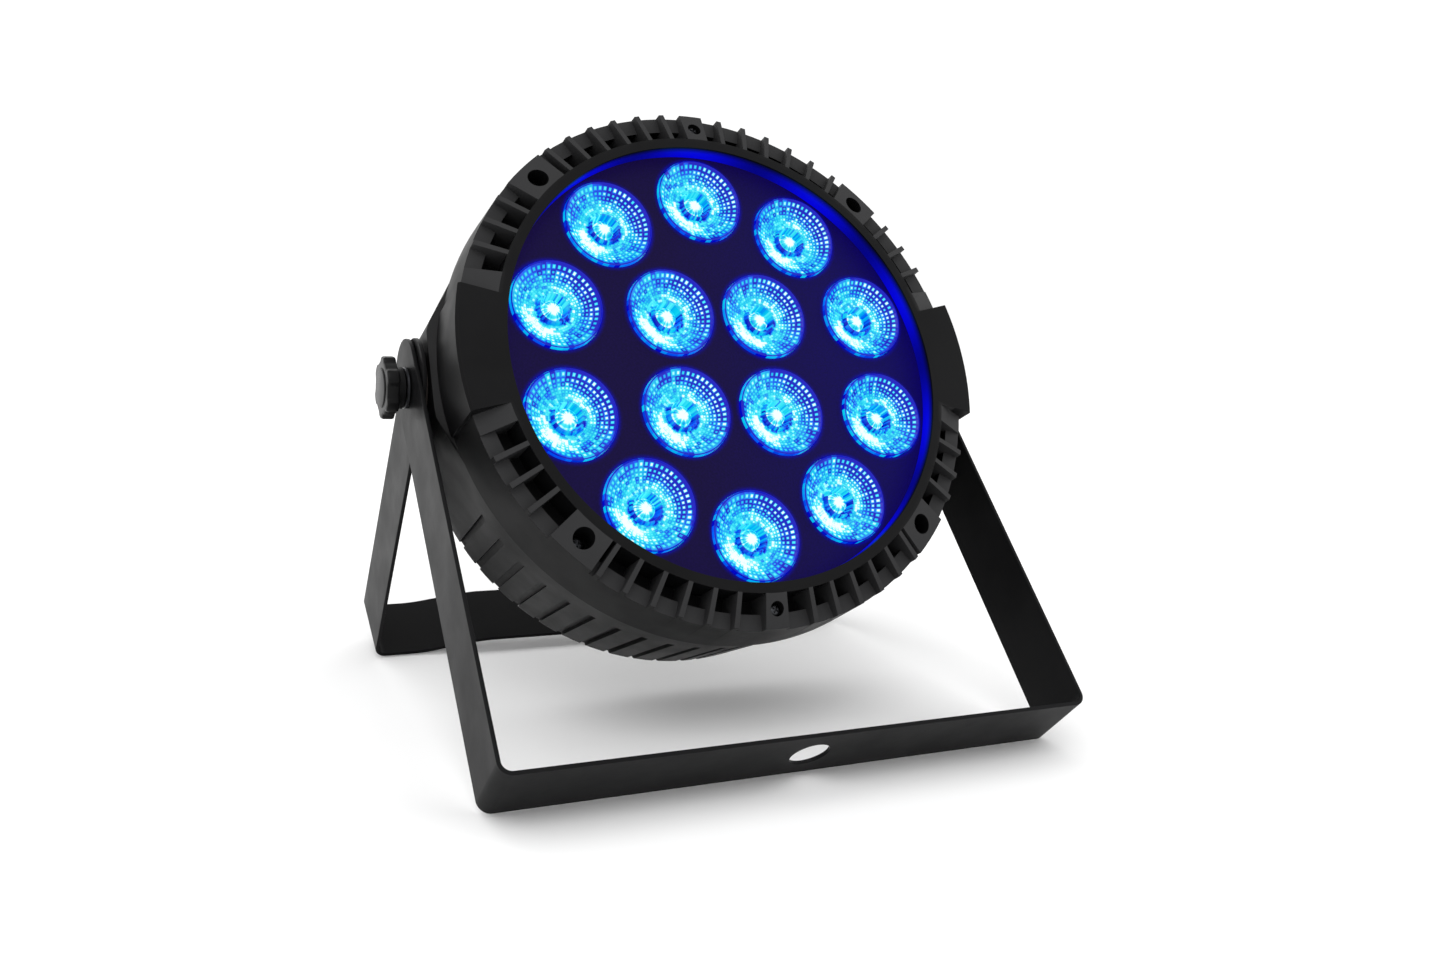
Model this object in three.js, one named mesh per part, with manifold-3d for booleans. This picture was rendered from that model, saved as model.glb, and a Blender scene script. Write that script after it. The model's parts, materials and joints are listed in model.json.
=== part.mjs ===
// Flat LED par can: a round head with fourteen lenses, hung between two strip brackets on one pivot.
// Millimetres, +Z up, the lenses face -Y, and the two brackets stand apart as a floor stand.
// Every head piece is drawn in the head's own frame, level, with Y running back from the lens faces.

import * as THREE from "three";
import { mergeVertices } from "three/addons/utils/BufferGeometryUtils.js";
import { ConvexGeometry } from "three/addons/geometries/ConvexGeometry.js";
import Module from "manifold-3d";

const wasm = await Module();
wasm.setup();

// ---------------------------------------------------------------- driving dimensions

const gap = 0.3; // between pieces that touch
const overcut = 2; // how far a cutting tool runs past the face it cuts

// lenses and their plate
const outerLenses = 10;
const innerLenses = 4;
const lensRadius = 18.5;
const outerSpace = 7.2; // between neighbours in the outer ring
const innerSpace = 4.6; // between neighbours in the inner ring
const lensDepth = 17;
const lensRimDepth = 4;
const lensBackRadius = 8.5;
const lensCupRadius = 4.5;
const lensCupDepth = 5;
const plateSetback = 1.5; // plate face behind the lens faces
const plateThickness = 2;

// front bezel
const openingMargin = 1.5; // opening edge outside the outer lenses
const ringProud = 6.7; // bezel ring ahead of the lens faces
const ringWidth = 4.1;
const rimWidth = 12.9; // from the plain ring to the rib tips
const rimSlope = 3.5; // how far the rib tops fall back over the rim
const pocketWidth = 6.6;
const pocketDepth = 13.5; // from the ring face to the pocket floor
const shelfDepth = 6.7; // from the ring face to the shelf outside the pockets
const bezelWall = 2.4;
const bezelDepth = 28.2; // ring face to the parting line
const skirtDraft = 1.1;
const ribWidth = 2;
const padWidth = 18;
const tabWidth = 9.4;
const shoulderProud = 2.1; // shoulder outside the rib tips
const ledgeWidth = 1.9; // how far the lens plate reaches behind the opening

// rear housing and cover
const housingWall = 3;
const housingStep = 1.2; // housing inside the bezel skirt at the parting line
const housingDepth = 63.2; // parting line to the back
const housingTaper = 4.6;
const backRound = 6;
const lipLength = 3.5; // housing lip inside the bezel skirt
const columnWall = 3; // plastic round each bezel screw
const columnReach = 9; // screw columns behind the housing's front edge
const insertWall = 4; // plastic round each pivot insert
const insertSetback = 3; // insert block inside the boss face
const coverBossDepth = 5;
const bossHalfHeight = 20;
const bossHalfDepth = 17;
const grooveWidth = 3;
const grooveDepth = 1.9;
const grooveStart = 14.3; // behind the parting line
const grooveTool = 8; // radial size of the groove cutter
const coverThickness = 2.4;
const coverLedge = 5.4;
const coverMargin = 4.4; // cover edge inside the flat of the housing's back
const coverProud = 0.7;
const coverEdge = 0.8; // chamfer

// brackets and pivot
const pivotBack = 40.5; // pivot behind the lens faces
const pivotUp = 3.4; // pivot above the lens axis
const headTilt = 29.5; // degrees, lenses aimed up
const stripWidth = 30;
const stripThickness = 1.5;
const stripTip = 20; // strip past the pivot
const bendRadius = 5; // outside of the bends
const headClearance = 7.4; // between the swinging head and the rear bracket's base
const nestRoom = 33; // how much deeper the front bracket is than the rear one
const rearLean = 29; // degrees back from straight down
const joggleHeight = 5;
const joggleInset = 20; // bracket corner to the start of the joggle
const joggleLength = 27;
const joggleRadius = 60;
const hangHoleRadius = 7.6;

// clamp hardware
const studRadius = 4;
const bossFaceProud = 2; // boss face outside the bezel shoulders
const frictionRadius = 14;
const frictionThickness = 1.2;
const washerRadius = 8;
const washerThickness = 1.2;
const knobRadius = 12;
const knobCoreRadius = 8;
const knobCoreLength = 3;
const knobHeadLength = 5.4;
const knobLobes = 6;
const knobFlute = 1.5; // depth of the hollows between the lobes
const insertRadius = 6.7;
const insertLength = 11.4;

// screws
const bezelScrew = { shank: 1.5, head: 3.3, headHeight: 2.4, length: 18, well: 4 };
const tabScrew = { shank: 1.2, head: 2.5, headHeight: 1.6, length: 9, well: 2.8 };
const coverScrew = { shank: 1.5, head: 2.9, headHeight: 1.8, length: 9 };
const screwSegments = 10;

// inner parts
const boardThickness = 1.6;
const ledSize = 5;
const ledHeight = 1.5;
const sinkBase = 4;
const sinkFinThickness = 2;
const sinkFins = 11;
const sinkMargin = 14; // heat sink edge inside the housing wall
const powerBoardRoom = 3; // behind the heat sink
const controlBoardRoom = 9.9; // behind the tallest part of the power board
const powerBoardHalf = [58, 34];
const powerBlocks = [
  [-40, 0, 24, 28, 15], // transformer as [x, z, width, height, rise]
  [0, 23, 32, 14, 6],
  [-8, -24, 24, 12, 5],
];
const powerCans = [
  [42, 12, 9, 18], // capacitor as [x, z, radius, rise]
  [42, -14, 6, 14],
];
const fanSize = 50;
const fanDepth = 12;
const fanUp = -8;
const fanBlades = 7;
const fanWall = 1.6; // frame at the thinnest
const fanHubRadius = 10;
const fanStrut = { width: 2.4, depth: 2 };
const fanPin = { radius: 1.2, reach: 6 };
const fanBlade = { thickness: 1.2, chord: 9, pitch: 38 };

// rear panel
const windowWidth = 46;
const windowHeight = 18;
const windowUp = 40;
const buttonRadius = 4.5;
const buttonTravel = 0.8;
const buttonProud = 1.8;
const buttonPitch = 18;
const buttonUp = 23;
const buttonCount = 4;
const buttonEdge = 0.5; // chamfer
const buttonFlange = { width: 1.1, thickness: 1.6 };
const pushSwitch = { size: 6, height: 2.5, plunger: 1.7, plungerRadius: 1.7 };
const display = { width: 40, height: 14 };
const controlBoardHalf = 38;
const controlBoardMargin = 12; // board above the window's middle
const windowProud = 0.6;
const ventWidth = 3;
const ventRows = 7;
const ventPitch = 9;
const ventUp = 8; // middle of the side vents
const ventReach = [44, 72];
const grilleRadius = 21;
const grilleRows = 6;
const grillePitch = 7;
const eyeUp = 76;
const eyeFoot = { width: 26, height: 10, thickness: 2 };
const eyeLug = { radius: 9, bore: 4.6, thickness: 3, rise: 6 };

// Sockets on the rear cover, each with its middle as [x, z].
const socketFlange = 2;
const inletPlace = [-38, -50];
const fusePlace = [-10, -64];
const signalInPlace = [14, -56];
const signalOutPlace = [46, -50];
const inlet = { width: 27, height: 20, flangeWidth: 36, flangeHeight: 24, depth: 20, wall: 2, cup: 15 };
const inletBlade = { width: 2, height: 4, tip: 6.5 };
const bladePlaces = [
  [-7, -1.5],
  [0, 2],
  [7, -1.5],
];
const fuse = { radius: 6, cap: 7.5, proud: 1.5, depth: 24, slotLength: 10, slotWidth: 1.6 };
const signal = { radius: 11, flange: 14, cup: 8.6, depth: 20, inCup: 14, outCup: 6 };
const signalPin = { radius: 1.2, tip: 6.5 };
const pinPlaces = [
  [0, 4.2],
  [-3.9, -1.9],
  [3.9, -1.9],
];

const roundSegments = 48;
const smallSegments = 16;
const lensSegments = 16;

// ---------------------------------------------------------------- sizes that follow

const ringFor = (count, space) => (2 * lensRadius + space) / (2 * Math.sin(Math.PI / count));
const lensRingRadius = ringFor(outerLenses, outerSpace);
const innerRingRadius = ringFor(innerLenses, innerSpace);
const plateRadius = lensRingRadius + lensRadius + openingMargin + ledgeWidth;
const openingRadius = plateRadius - ledgeWidth;
const ringRadius = openingRadius + ringWidth;
const rimRadius = ringRadius + rimWidth;
const pocketRadius = ringRadius + pocketWidth;
const skirtRadius = rimRadius + skirtDraft;
const shoulderRadius = rimRadius + shoulderProud;
const ringFace = -ringProud;
const pocketFloor = ringFace + pocketDepth;
const shelfFace = ringFace + shelfDepth;
const bezelInside = pocketFloor + bezelWall;
const partingLine = ringFace + bezelDepth;
const screwColumnRadius = bezelScrew.shank + columnWall;
const padScrewRadius = rimRadius - bezelWall - screwColumnRadius - gap;
const plateFace = plateSetback;
const housingFront = partingLine + gap;
const housingRadius = skirtRadius - housingStep;
const housingBack = housingFront + housingDepth;
const housingRearRadius = housingRadius - housingTaper;
const coverRadius = housingRearRadius - backRound - coverMargin;
const coverFace = housingBack + coverProud;
const coverInside = coverFace - coverThickness;
const boardFace = lensDepth + gap;
const sinkFace = boardFace + boardThickness + gap;
const sinkRadius = housingRadius - housingWall - sinkMargin;
const bossFace = shoulderRadius + bossFaceProud;
const frictionFace = bossFace + gap;
const rearLegInside = frictionFace + frictionThickness + gap;
const rearHalfWidth = rearLegInside + stripThickness;
const frontHalfWidth = rearHalfWidth + gap + stripThickness;
const washerFace = frontHalfWidth + gap;
const knobFace = washerFace + washerThickness + gap;
const tipRadius = stripWidth / 2;

// The head swings past the rear bracket's base, and the rear bracket past the front one's.
const swingRadius = Math.max(
  Math.hypot(rimRadius + pivotUp, pivotBack - ringFace - rimSlope),
  Math.hypot(housingRearRadius + pivotUp, housingBack - backRound - pivotBack),
);
const rearDrop = swingRadius + headClearance + joggleHeight + stripThickness;
const frontDrop = rearDrop + nestRoom;

// The rear bracket's lower base edge meets the floor, and the front bracket leans forward
// until its own lower edge meets the same floor.
const rearLeanAngle = THREE.MathUtils.degToRad(rearLean);
const pivotHeight = rearDrop * Math.cos(rearLeanAngle) + tipRadius * Math.sin(rearLeanAngle);
const frontLeanAngle =
  Math.acos(pivotHeight / Math.hypot(frontDrop, tipRadius)) + Math.atan2(tipRadius, frontDrop);

// Angles of the bezel features, in degrees from the top, the same on both sides.
const ribAngles = [
  ...[7, 13, 19, 25, 31, 37], // top tab to upper pad
  ...[54, 60, 66], // upper pad to shoulder
  ...[112, 117.8, 123.6], // shoulder to lower pad
  ...[141.2, 147.2, 153.2, 159.2, 165.2, 171], // lower pad to bottom tab
];
const padAngles = [44.6, 134.6];
const stepAngles = [73.9, 104];
const shoulderSpan = [76.4, 102.4];
const groovePitch = 6;
const grooveRows = [
  { first: 4, count: 8 },
  { first: 118, count: 11 },
];
const grooveAngles = grooveRows.flatMap(({ first, count }) =>
  Array.from({ length: count }, (_, i) => first + i * groovePitch),
);

// ---------------------------------------------------------------- finishes

const blackPlastic = { color: 0x1c1c1e, roughness: 0.55, metalness: 0 };
const blackPaint = { color: 0x202124, roughness: 0.5, metalness: 0.1 };
const glossPlastic = { color: 0x101012, roughness: 0.3, metalness: 0 };
const litLens = { color: 0x35c9ff, roughness: 0.1, metalness: 0, emissive: 0x0a60ff };
const plateFinish = { color: 0x140a50, roughness: 0.6, metalness: 0 };
const aluminium = { color: 0xb8babd, roughness: 0.45, metalness: 1 };
const steel = { color: 0x8d9094, roughness: 0.35, metalness: 1 };
const blackSteel = { color: 0x232427, roughness: 0.4, metalness: 0.8 };
const greenBoard = { color: 0x1d5a34, roughness: 0.6, metalness: 0 };
const whiteBoard = { color: 0xe6e6e2, roughness: 0.5, metalness: 0 };
const fibre = { color: 0x2a2622, roughness: 0.85, metalness: 0 };
const windowFinish = { color: 0x0a0c10, roughness: 0.15, metalness: 0 };
const brass = { color: 0xb08d4a, roughness: 0.35, metalness: 1 };

// ---------------------------------------------------------------- helpers

const turns = THREE.MathUtils.degToRad;

// A geometry as a solid. A profile may be listed either way round.
function solid(geometry) {
  const bare = geometry.clone();
  for (const name of ["normal", "uv"]) bare.deleteAttribute(name);
  const merged = mergeVertices(bare, 1e-4);
  const make = (triVerts) =>
    new wasm.Manifold(
      new wasm.Mesh({ numProp: 3, vertProperties: merged.attributes.position.array, triVerts }),
    );
  const index = new Uint32Array(merged.index.array);
  const made = make(index);
  if (made.volume() > 0) return made;
  for (let i = 0; i < index.length; i += 3) [index[i], index[i + 1]] = [index[i + 1], index[i]];
  return make(index);
}

function geometryOf(made) {
  const mesh = made.getMesh();
  const geometry = new THREE.BufferGeometry();
  geometry.setAttribute("position", new THREE.BufferAttribute(new Float32Array(mesh.vertProperties), 3));
  geometry.setIndex(new THREE.BufferAttribute(new Uint32Array(mesh.triVerts), 1));
  geometry.computeVertexNormals();
  return geometry;
}

const join = (first, ...rest) => rest.reduce((all, next) => all.add(next), first);
const cut = (first, ...rest) => rest.reduce((left, tool) => left.subtract(tool), first);

// Turned about Y from a closed profile of [radius, y].
function turned(profile, segments = roundSegments) {
  const points = profile.map(([radius, y]) => new THREE.Vector2(radius, y));
  const onAxis = (p) => p.x === 0;
  if (!(onAxis(points[0]) && onAxis(points[points.length - 1]))) points.push(points[0].clone());
  return solid(new THREE.LatheGeometry(points, segments));
}

function box(x0, x1, y0, y1, z0, z1) {
  const geometry = new THREE.BoxGeometry(x1 - x0, y1 - y0, z1 - z0);
  geometry.translate((x0 + x1) / 2, (y0 + y1) / 2, (z0 + z1) / 2);
  return solid(geometry);
}

// A round bar along Y at [x, z].
function barY(radius, y0, y1, x = 0, z = 0, segments = smallSegments) {
  const geometry = new THREE.CylinderGeometry(radius, radius, y1 - y0, segments);
  geometry.translate(x, (y0 + y1) / 2, z);
  return solid(geometry);
}

// A round bar along X at [y, z].
function barX(radius, x0, x1, y, z, segments = smallSegments) {
  const geometry = new THREE.CylinderGeometry(radius, radius, Math.abs(x1 - x0), segments);
  geometry.rotateZ(Math.PI / 2);
  geometry.translate((x0 + x1) / 2, y, z);
  return solid(geometry);
}

// A box that stands on the radius at an angle from the top, between two radii.
function radialBox(angle, width, r0, r1, y0, y1) {
  const geometry = new THREE.BoxGeometry(width, y1 - y0, r1 - r0);
  geometry.translate(0, (y0 + y1) / 2, (r0 + r1) / 2);
  geometry.rotateY(turns(angle));
  return solid(geometry);
}

// A ring sector in the plane of the head, between two angles from the top, extruded along Y.
function sector(from, to, r0, r1, y0, y1) {
  const shape = new THREE.Shape();
  shape.absarc(0, 0, r1, Math.PI / 2 - turns(from), Math.PI / 2 - turns(to), from < to);
  shape.absarc(0, 0, r0, Math.PI / 2 - turns(to), Math.PI / 2 - turns(from), from > to);
  const depth = y1 - y0;
  const geometry = new THREE.ExtrudeGeometry(shape, { depth, bevelEnabled: false, curveSegments: 8 });
  geometry.rotateX(Math.PI / 2);
  geometry.translate(0, y1, 0);
  return solid(geometry);
}

const bothSides = (angles) => angles.flatMap((angle) => [angle, -angle]);

// [x, z] at a radius and an angle from the top.
const polar = (radius, angle) => [radius * Math.sin(turns(angle)), radius * Math.cos(turns(angle))];

function addPart(group, name, made, finish) {
  const mesh = new THREE.Mesh(geometryOf(made), new THREE.MeshStandardMaterial(finish));
  mesh.name = name;
  group.add(mesh);
}

// ---------------------------------------------------------------- front of the head

const lensCentres = [
  ...Array.from({ length: outerLenses }, (_, i) => polar(lensRingRadius, (i * 360) / outerLenses)),
  ...Array.from({ length: innerLenses }, (_, i) => polar(innerRingRadius, 45 + (i * 360) / innerLenses)),
];

function frontBezel() {
  const back = partingLine;
  const shell = turned([
    [openingRadius, ringFace],
    [ringRadius, ringFace],
    [ringRadius, pocketFloor],
    [pocketRadius, pocketFloor],
    [pocketRadius, shelfFace],
    [rimRadius, shelfFace],
    [skirtRadius, back],
    [skirtRadius - bezelWall, back],
    [rimRadius - bezelWall, bezelInside],
    [plateRadius + gap, bezelInside],
    [plateRadius + gap, plateFace - gap],
    [openingRadius, plateFace - gap],
  ]);
  // Everything on the rim is trimmed by this cone, which falls back towards the outside.
  const trim = turned([
    [ringRadius - 1, ringFace],
    [ringRadius, ringFace],
    [rimRadius, ringFace + rimSlope],
    [rimRadius, bezelInside],
    [ringRadius - 1, bezelInside],
  ]);
  const inner = ringRadius - 1;
  const outer = rimRadius + overcut;
  const raised = [
    ...bothSides(ribAngles).map((angle) => radialBox(angle, ribWidth, inner, outer, ringFace, bezelInside)),
    ...bothSides(padAngles).map((angle) => radialBox(angle, padWidth, inner, outer, ringFace, bezelInside)),
    ...bothSides(stepAngles).map((angle) => radialBox(angle, tabWidth, inner, outer, ringFace, bezelInside)),
    ...[0, 180].map((angle) => radialBox(angle, tabWidth, inner, outer, ringFace, bezelInside)),
  ];
  const shoulders = [1, -1].map((side) =>
    sector(side * shoulderSpan[0], side * shoulderSpan[1], inner, shoulderRadius, ringFace, back),
  );
  const hollow = turned([
    [plateRadius + gap, bezelInside],
    [rimRadius - bezelWall, bezelInside],
    [skirtRadius - bezelWall, back + overcut],
    [plateRadius + gap, back + overcut],
  ]);
  const padHoles = bothSides(padAngles).flatMap((angle) => {
    const [x, z] = polar(padScrewRadius, angle);
    return [
      barY(bezelScrew.well, ringFace - overcut, pocketFloor - bezelWall, x, z),
      barY(bezelScrew.shank + gap, ringFace, back, x, z, screwSegments),
    ];
  });
  const tabHoles = [0, 180].flatMap((angle) => {
    const [x, z] = polar(padScrewRadius, angle);
    return [
      barY(tabScrew.well, ringFace - overcut, ringFace + rimSlope + tabScrew.headHeight, x, z, screwSegments),
      barY(tabScrew.shank + gap, ringFace, back, x, z, screwSegments),
    ];
  });
  const rim = join(...raised).intersect(trim);
  return cut(join(shell, rim, cut(join(...shoulders), hollow)), ...padHoles, ...tabHoles);
}

function lensPlate() {
  const disc = barY(plateRadius, plateFace, plateFace + plateThickness, 0, 0, roundSegments);
  const holes = lensCentres.map(([x, z]) =>
    barY(lensRadius, plateFace - overcut, plateFace + plateThickness + overcut, x, z, lensSegments),
  );
  return cut(disc, ...holes);
}

// A moulded optic: a flat rim, a cone that gathers the light, and a cup over the diode.
function lens([x, z]) {
  const rim = lensRadius - gap;
  return turned(
    [
      [0, 0],
      [rim, 0],
      [rim, lensRimDepth],
      [lensBackRadius, lensDepth],
      [lensCupRadius, lensDepth],
      [lensCupRadius, lensDepth - lensCupDepth],
      [0, lensDepth - lensCupDepth],
    ],
    lensSegments,
  ).translate(x, 0, z);
}

function ledBoard() {
  const board = barY(sinkRadius, boardFace, boardFace + boardThickness, 0, 0, roundSegments / 2);
  const half = ledSize / 2;
  const diodes = lensCentres.map(([x, z]) =>
    box(x - half, x + half, boardFace - ledHeight, boardFace + boardThickness / 2, z - half, z + half),
  );
  return join(board, ...diodes);
}

function heatSink() {
  const base = barY(sinkRadius, sinkFace, sinkFace + sinkBase, 0, 0, roundSegments / 2);
  const pitch = (2 * sinkRadius * 0.85) / (sinkFins - 1);
  const fins = Array.from({ length: sinkFins }, (_, i) => {
    const x = (i - (sinkFins - 1) / 2) * pitch;
    const reach = Math.sqrt((sinkRadius - 2) ** 2 - (Math.abs(x) + sinkFinThickness / 2) ** 2);
    const half = sinkFinThickness / 2;
    return box(x - half, x + half, sinkFace + sinkBase / 2, sinkFace + sinkBase + sinkFin, -reach, reach);
  });
  return join(base, ...fins);
}

// ---------------------------------------------------------------- rear of the head

function circlePoints(radius, y) {
  return Array.from({ length: roundSegments }, (_, i) => {
    const angle = (i * 2 * Math.PI) / roundSegments;
    return new THREE.Vector3(radius * Math.sin(angle), y, radius * Math.cos(angle));
  });
}

const coverScrewRadius = coverRadius - coverLedge / 2;
const coverScrewAngles = [45, 135, 225, 315];

function rearHousing() {
  const bossCorners = [1, -1].flatMap((side) =>
    [-1, 1].flatMap((dy) =>
      [-1, 1].map(
        (dz) =>
          new THREE.Vector3(side * bossFace, pivotBack + dy * bossHalfDepth, pivotUp + dz * bossHalfHeight),
      ),
    ),
  );
  const outside = solid(
    new ConvexGeometry([
      ...circlePoints(housingRadius, housingFront),
      ...circlePoints(housingRearRadius, housingBack - backRound),
      ...circlePoints(housingRearRadius - backRound, housingBack),
      ...bossCorners,
    ]),
  );
  const inRadius = housingRadius - housingWall;
  const inRear = housingRearRadius - housingWall;
  const inBack = housingBack - housingWall - coverThickness;
  const cavity = turned([
    [0, housingFront - overcut],
    [inRadius, housingFront - overcut],
    [inRadius, housingFront],
    [inRear, inBack - backRound],
    [inRear - backRound, inBack],
    [coverRadius - coverLedge, inBack],
    [coverRadius - coverLedge, coverInside - gap],
    [coverRadius + gap, coverInside - gap],
    [coverRadius + gap, housingBack + overcut],
    [0, housingBack + overcut],
  ]);
  const grooveRear = housingBack - backRound / 2;
  const grooves = bothSides(grooveAngles).map((angle) => {
    const length = grooveRear - housingFront - grooveStart + backRound;
    const geometry = new THREE.BoxGeometry(grooveWidth, length, grooveTool);
    geometry.translate(0, 0, grooveTool / 2 - grooveDepth);
    geometry.rotateX(-Math.atan2(housingTaper, housingDepth - backRound));
    const middle = (housingFront + grooveStart + grooveRear + backRound) / 2;
    const share = (middle - housingFront) / (housingDepth - backRound);
    geometry.translate(0, middle, housingRadius - share * housingTaper);
    geometry.rotateY(turns(angle));
    return solid(geometry);
  });
  const lipOutside = skirtRadius - bezelWall - 3 * gap;
  const lipInside = inRadius - 1;
  const lip = turned([
    [lipInside, housingFront - lipLength],
    [lipOutside, housingFront - lipLength],
    [lipOutside, housingFront + 1],
    [lipInside, housingFront + 1],
  ]);
  const columns = bothSides(padAngles).map((angle) => {
    const [x, z] = polar(padScrewRadius, angle);
    return barY(screwColumnRadius, bezelInside + gap, housingFront + columnReach, x, z);
  });
  const blockInside = bossFace - insertLength - insertSetback;
  const blockOutside = bossFace - insertSetback;
  const blocks = [1, -1].map((side) =>
    barX(insertRadius + insertWall, side * blockInside, side * blockOutside, pivotBack, pivotUp),
  );
  const coverBosses = coverScrewAngles.map((angle) => {
    const [x, z] = polar(coverScrewRadius, angle);
    return barY(coverLedge / 2, inBack - coverBossDepth, inBack + 1, x, z, screwSegments);
  });
  const holeInside = bossFace - insertLength - gap;
  const holeOutside = bossFace + overcut;
  const insertHoles = [1, -1].map((side) =>
    barX(insertRadius + gap, side * holeInside, side * holeOutside, pivotBack, pivotUp),
  );
  const columnHoles = bothSides(padAngles).map((angle) => {
    const [x, z] = polar(padScrewRadius, angle);
    return barY(bezelScrew.shank + gap, bezelInside, housingFront + columnReach - 1, x, z, screwSegments);
  });
  const coverHoles = coverScrewAngles.map((angle) => {
    const [x, z] = polar(coverScrewRadius, angle);
    return barY(coverScrew.shank + gap, coverFace - coverScrew.length - 1, coverFace, x, z, screwSegments);
  });
  const shell = cut(outside, cavity, ...grooves);
  const whole = join(shell, lip, ...columns, ...blocks, ...coverBosses);
  return cut(whole, ...insertHoles, ...columnHoles, ...coverHoles);
}

const socketFace = coverFace + gap + socketFlange;

function slot(x0, x1, z) {
  return box(x0, x1, coverInside - overcut, coverFace + overcut, z - ventWidth / 2, z + ventWidth / 2);
}

function rearCover() {
  const front = coverInside - overcut;
  const back = coverFace + overcut;
  const disc = turned([
    [0, coverInside],
    [coverRadius, coverInside],
    [coverRadius, coverFace - coverEdge],
    [coverRadius - coverEdge, coverFace],
    [0, coverFace],
  ]);
  const halfW = windowWidth / 2 + gap;
  const halfH = windowHeight / 2 + gap;
  const [ix, iz] = inletPlace;
  const sideVents = Array.from({ length: ventRows }, (_, i) => {
    const z = (i - (ventRows - 1) / 2) * ventPitch + ventUp;
    return [slot(ventReach[0], ventReach[1], z), slot(-ventReach[1], -ventReach[0], z)];
  }).flat();
  const grille = Array.from({ length: grilleRows }, (_, i) => {
    const z = (i - (grilleRows - 1) / 2) * grillePitch;
    const reach = Math.sqrt(grilleRadius ** 2 - z ** 2);
    return slot(-reach, reach, fanUp + z);
  });
  const holes = [
    box(-halfW, halfW, front, back, windowUp - halfH, windowUp + halfH),
    ...buttonPlaces.map(([x, z]) => barY(buttonRadius + gap, front, back, x, z)),
    box(
      ix - inlet.width / 2 - gap,
      ix + inlet.width / 2 + gap,
      front,
      back,
      iz - inlet.height / 2 - gap,
      iz + inlet.height / 2 + gap,
    ),
    barY(fuse.radius + gap, front, back, ...fusePlace),
    barY(signal.radius + gap, front, back, ...signalInPlace),
    barY(signal.radius + gap, front, back, ...signalOutPlace),
    ...coverScrewAngles.map((angle) =>
      barY(coverScrew.shank + gap, front, back, ...polar(coverScrewRadius, angle), screwSegments),
    ),
  ];
  return cut(disc, ...holes, ...sideVents, ...grille);
}

const buttonPlaces = Array.from({ length: buttonCount }, (_, i) => [
  (i - (buttonCount - 1) / 2) * buttonPitch,
  buttonUp,
]);
const buttonInside = coverInside - buttonFlange.thickness - buttonTravel - gap;
const controlBoardBack = buttonInside - buttonTravel - gap - pushSwitch.height - pushSwitch.plunger;
const tallestRise = Math.max(
  ...powerBlocks.map(([, , , , rise]) => rise),
  ...powerCans.map(([, , , rise]) => rise),
);
const powerBoardFace = controlBoardBack - boardThickness - controlBoardRoom - tallestRise;
const powerBoardFront = powerBoardFace - boardThickness;
const sinkFin = powerBoardFront - powerBoardRoom - sinkBase - sinkFace; // the fins fill what is left

function displayWindow() {
  return box(
    -windowWidth / 2,
    windowWidth / 2,
    coverInside - 1,
    coverFace + windowProud,
    windowUp - windowHeight / 2,
    windowUp + windowHeight / 2,
  );
}

function menuButton([x, z]) {
  return turned(
    [
      [0, buttonInside],
      [buttonRadius + buttonFlange.width, buttonInside],
      [buttonRadius + buttonFlange.width, buttonInside + buttonFlange.thickness],
      [buttonRadius, buttonInside + buttonFlange.thickness],
      [buttonRadius, coverFace + buttonProud - buttonEdge],
      [buttonRadius - buttonEdge, coverFace + buttonProud],
      [0, coverFace + buttonProud],
    ],
    smallSegments,
  ).translate(x, 0, z);
}

// The control board carries the display block and one push switch behind each button.
function controlBoard() {
  const back = controlBoardBack;
  const sunk = back - boardThickness / 2;
  const bottom = buttonUp - pushSwitch.size;
  const top = windowUp + controlBoardMargin;
  const board = box(-controlBoardHalf, controlBoardHalf, back - boardThickness, back, bottom, top);
  const halfW = display.width / 2;
  const halfH = display.height / 2;
  const screen = box(-halfW, halfW, sunk, coverInside - 1 - gap, windowUp - halfH, windowUp + halfH);
  const half = pushSwitch.size / 2;
  const switches = buttonPlaces.map(([x, z]) =>
    join(
      box(x - half, x + half, sunk, back + pushSwitch.height, z - half, z + half),
      barY(pushSwitch.plungerRadius, back, buttonInside - buttonTravel - gap, x, z),
    ),
  );
  return join(board, screen, ...switches);
}

// The mains board stands ahead of the fan with its transformer, capacitors and coil.
function powerBoard() {
  const face = powerBoardFace;
  const sunk = face - boardThickness / 2;
  const [halfW, halfH] = powerBoardHalf;
  const board = box(-halfW, halfW, powerBoardFront, face, -halfH, halfH);
  const blocks = powerBlocks.map(([x, z, w, h, rise]) =>
    box(x - w / 2, x + w / 2, sunk, face + rise, z - h / 2, z + h / 2),
  );
  const cans = powerCans.map(([x, z, radius, rise]) => barY(radius, sunk, face + rise, x, z));
  return join(board, ...blocks, ...cans);
}

const fanBack = coverInside - gap;
const fanFront = fanBack - fanDepth;
const fanBore = fanSize / 2 - fanWall;
const fanTip = fanBore - 1;

function fanFrame() {
  const half = fanSize / 2;
  const frame = box(-half, half, fanFront, fanBack, fanUp - half, fanUp + half);
  const bore = barY(fanBore, fanFront - overcut, fanBack + overcut, 0, fanUp, lensSegments);
  const motor = barY(fanHubRadius - 1, fanFront, fanFront + fanStrut.depth, 0, fanUp);
  const struts = [0, 120, 240].map((angle) =>
    radialBox(
      angle,
      fanStrut.width,
      fanHubRadius - overcut,
      fanBore + 1,
      fanFront,
      fanFront + fanStrut.depth,
    ).translate(0, 0, fanUp),
  );
  const pin = barY(fanPin.radius, fanFront + 1, fanFront + fanPin.reach, 0, fanUp, screwSegments);
  return join(cut(frame, bore), motor, ...struts, pin);
}

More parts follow.
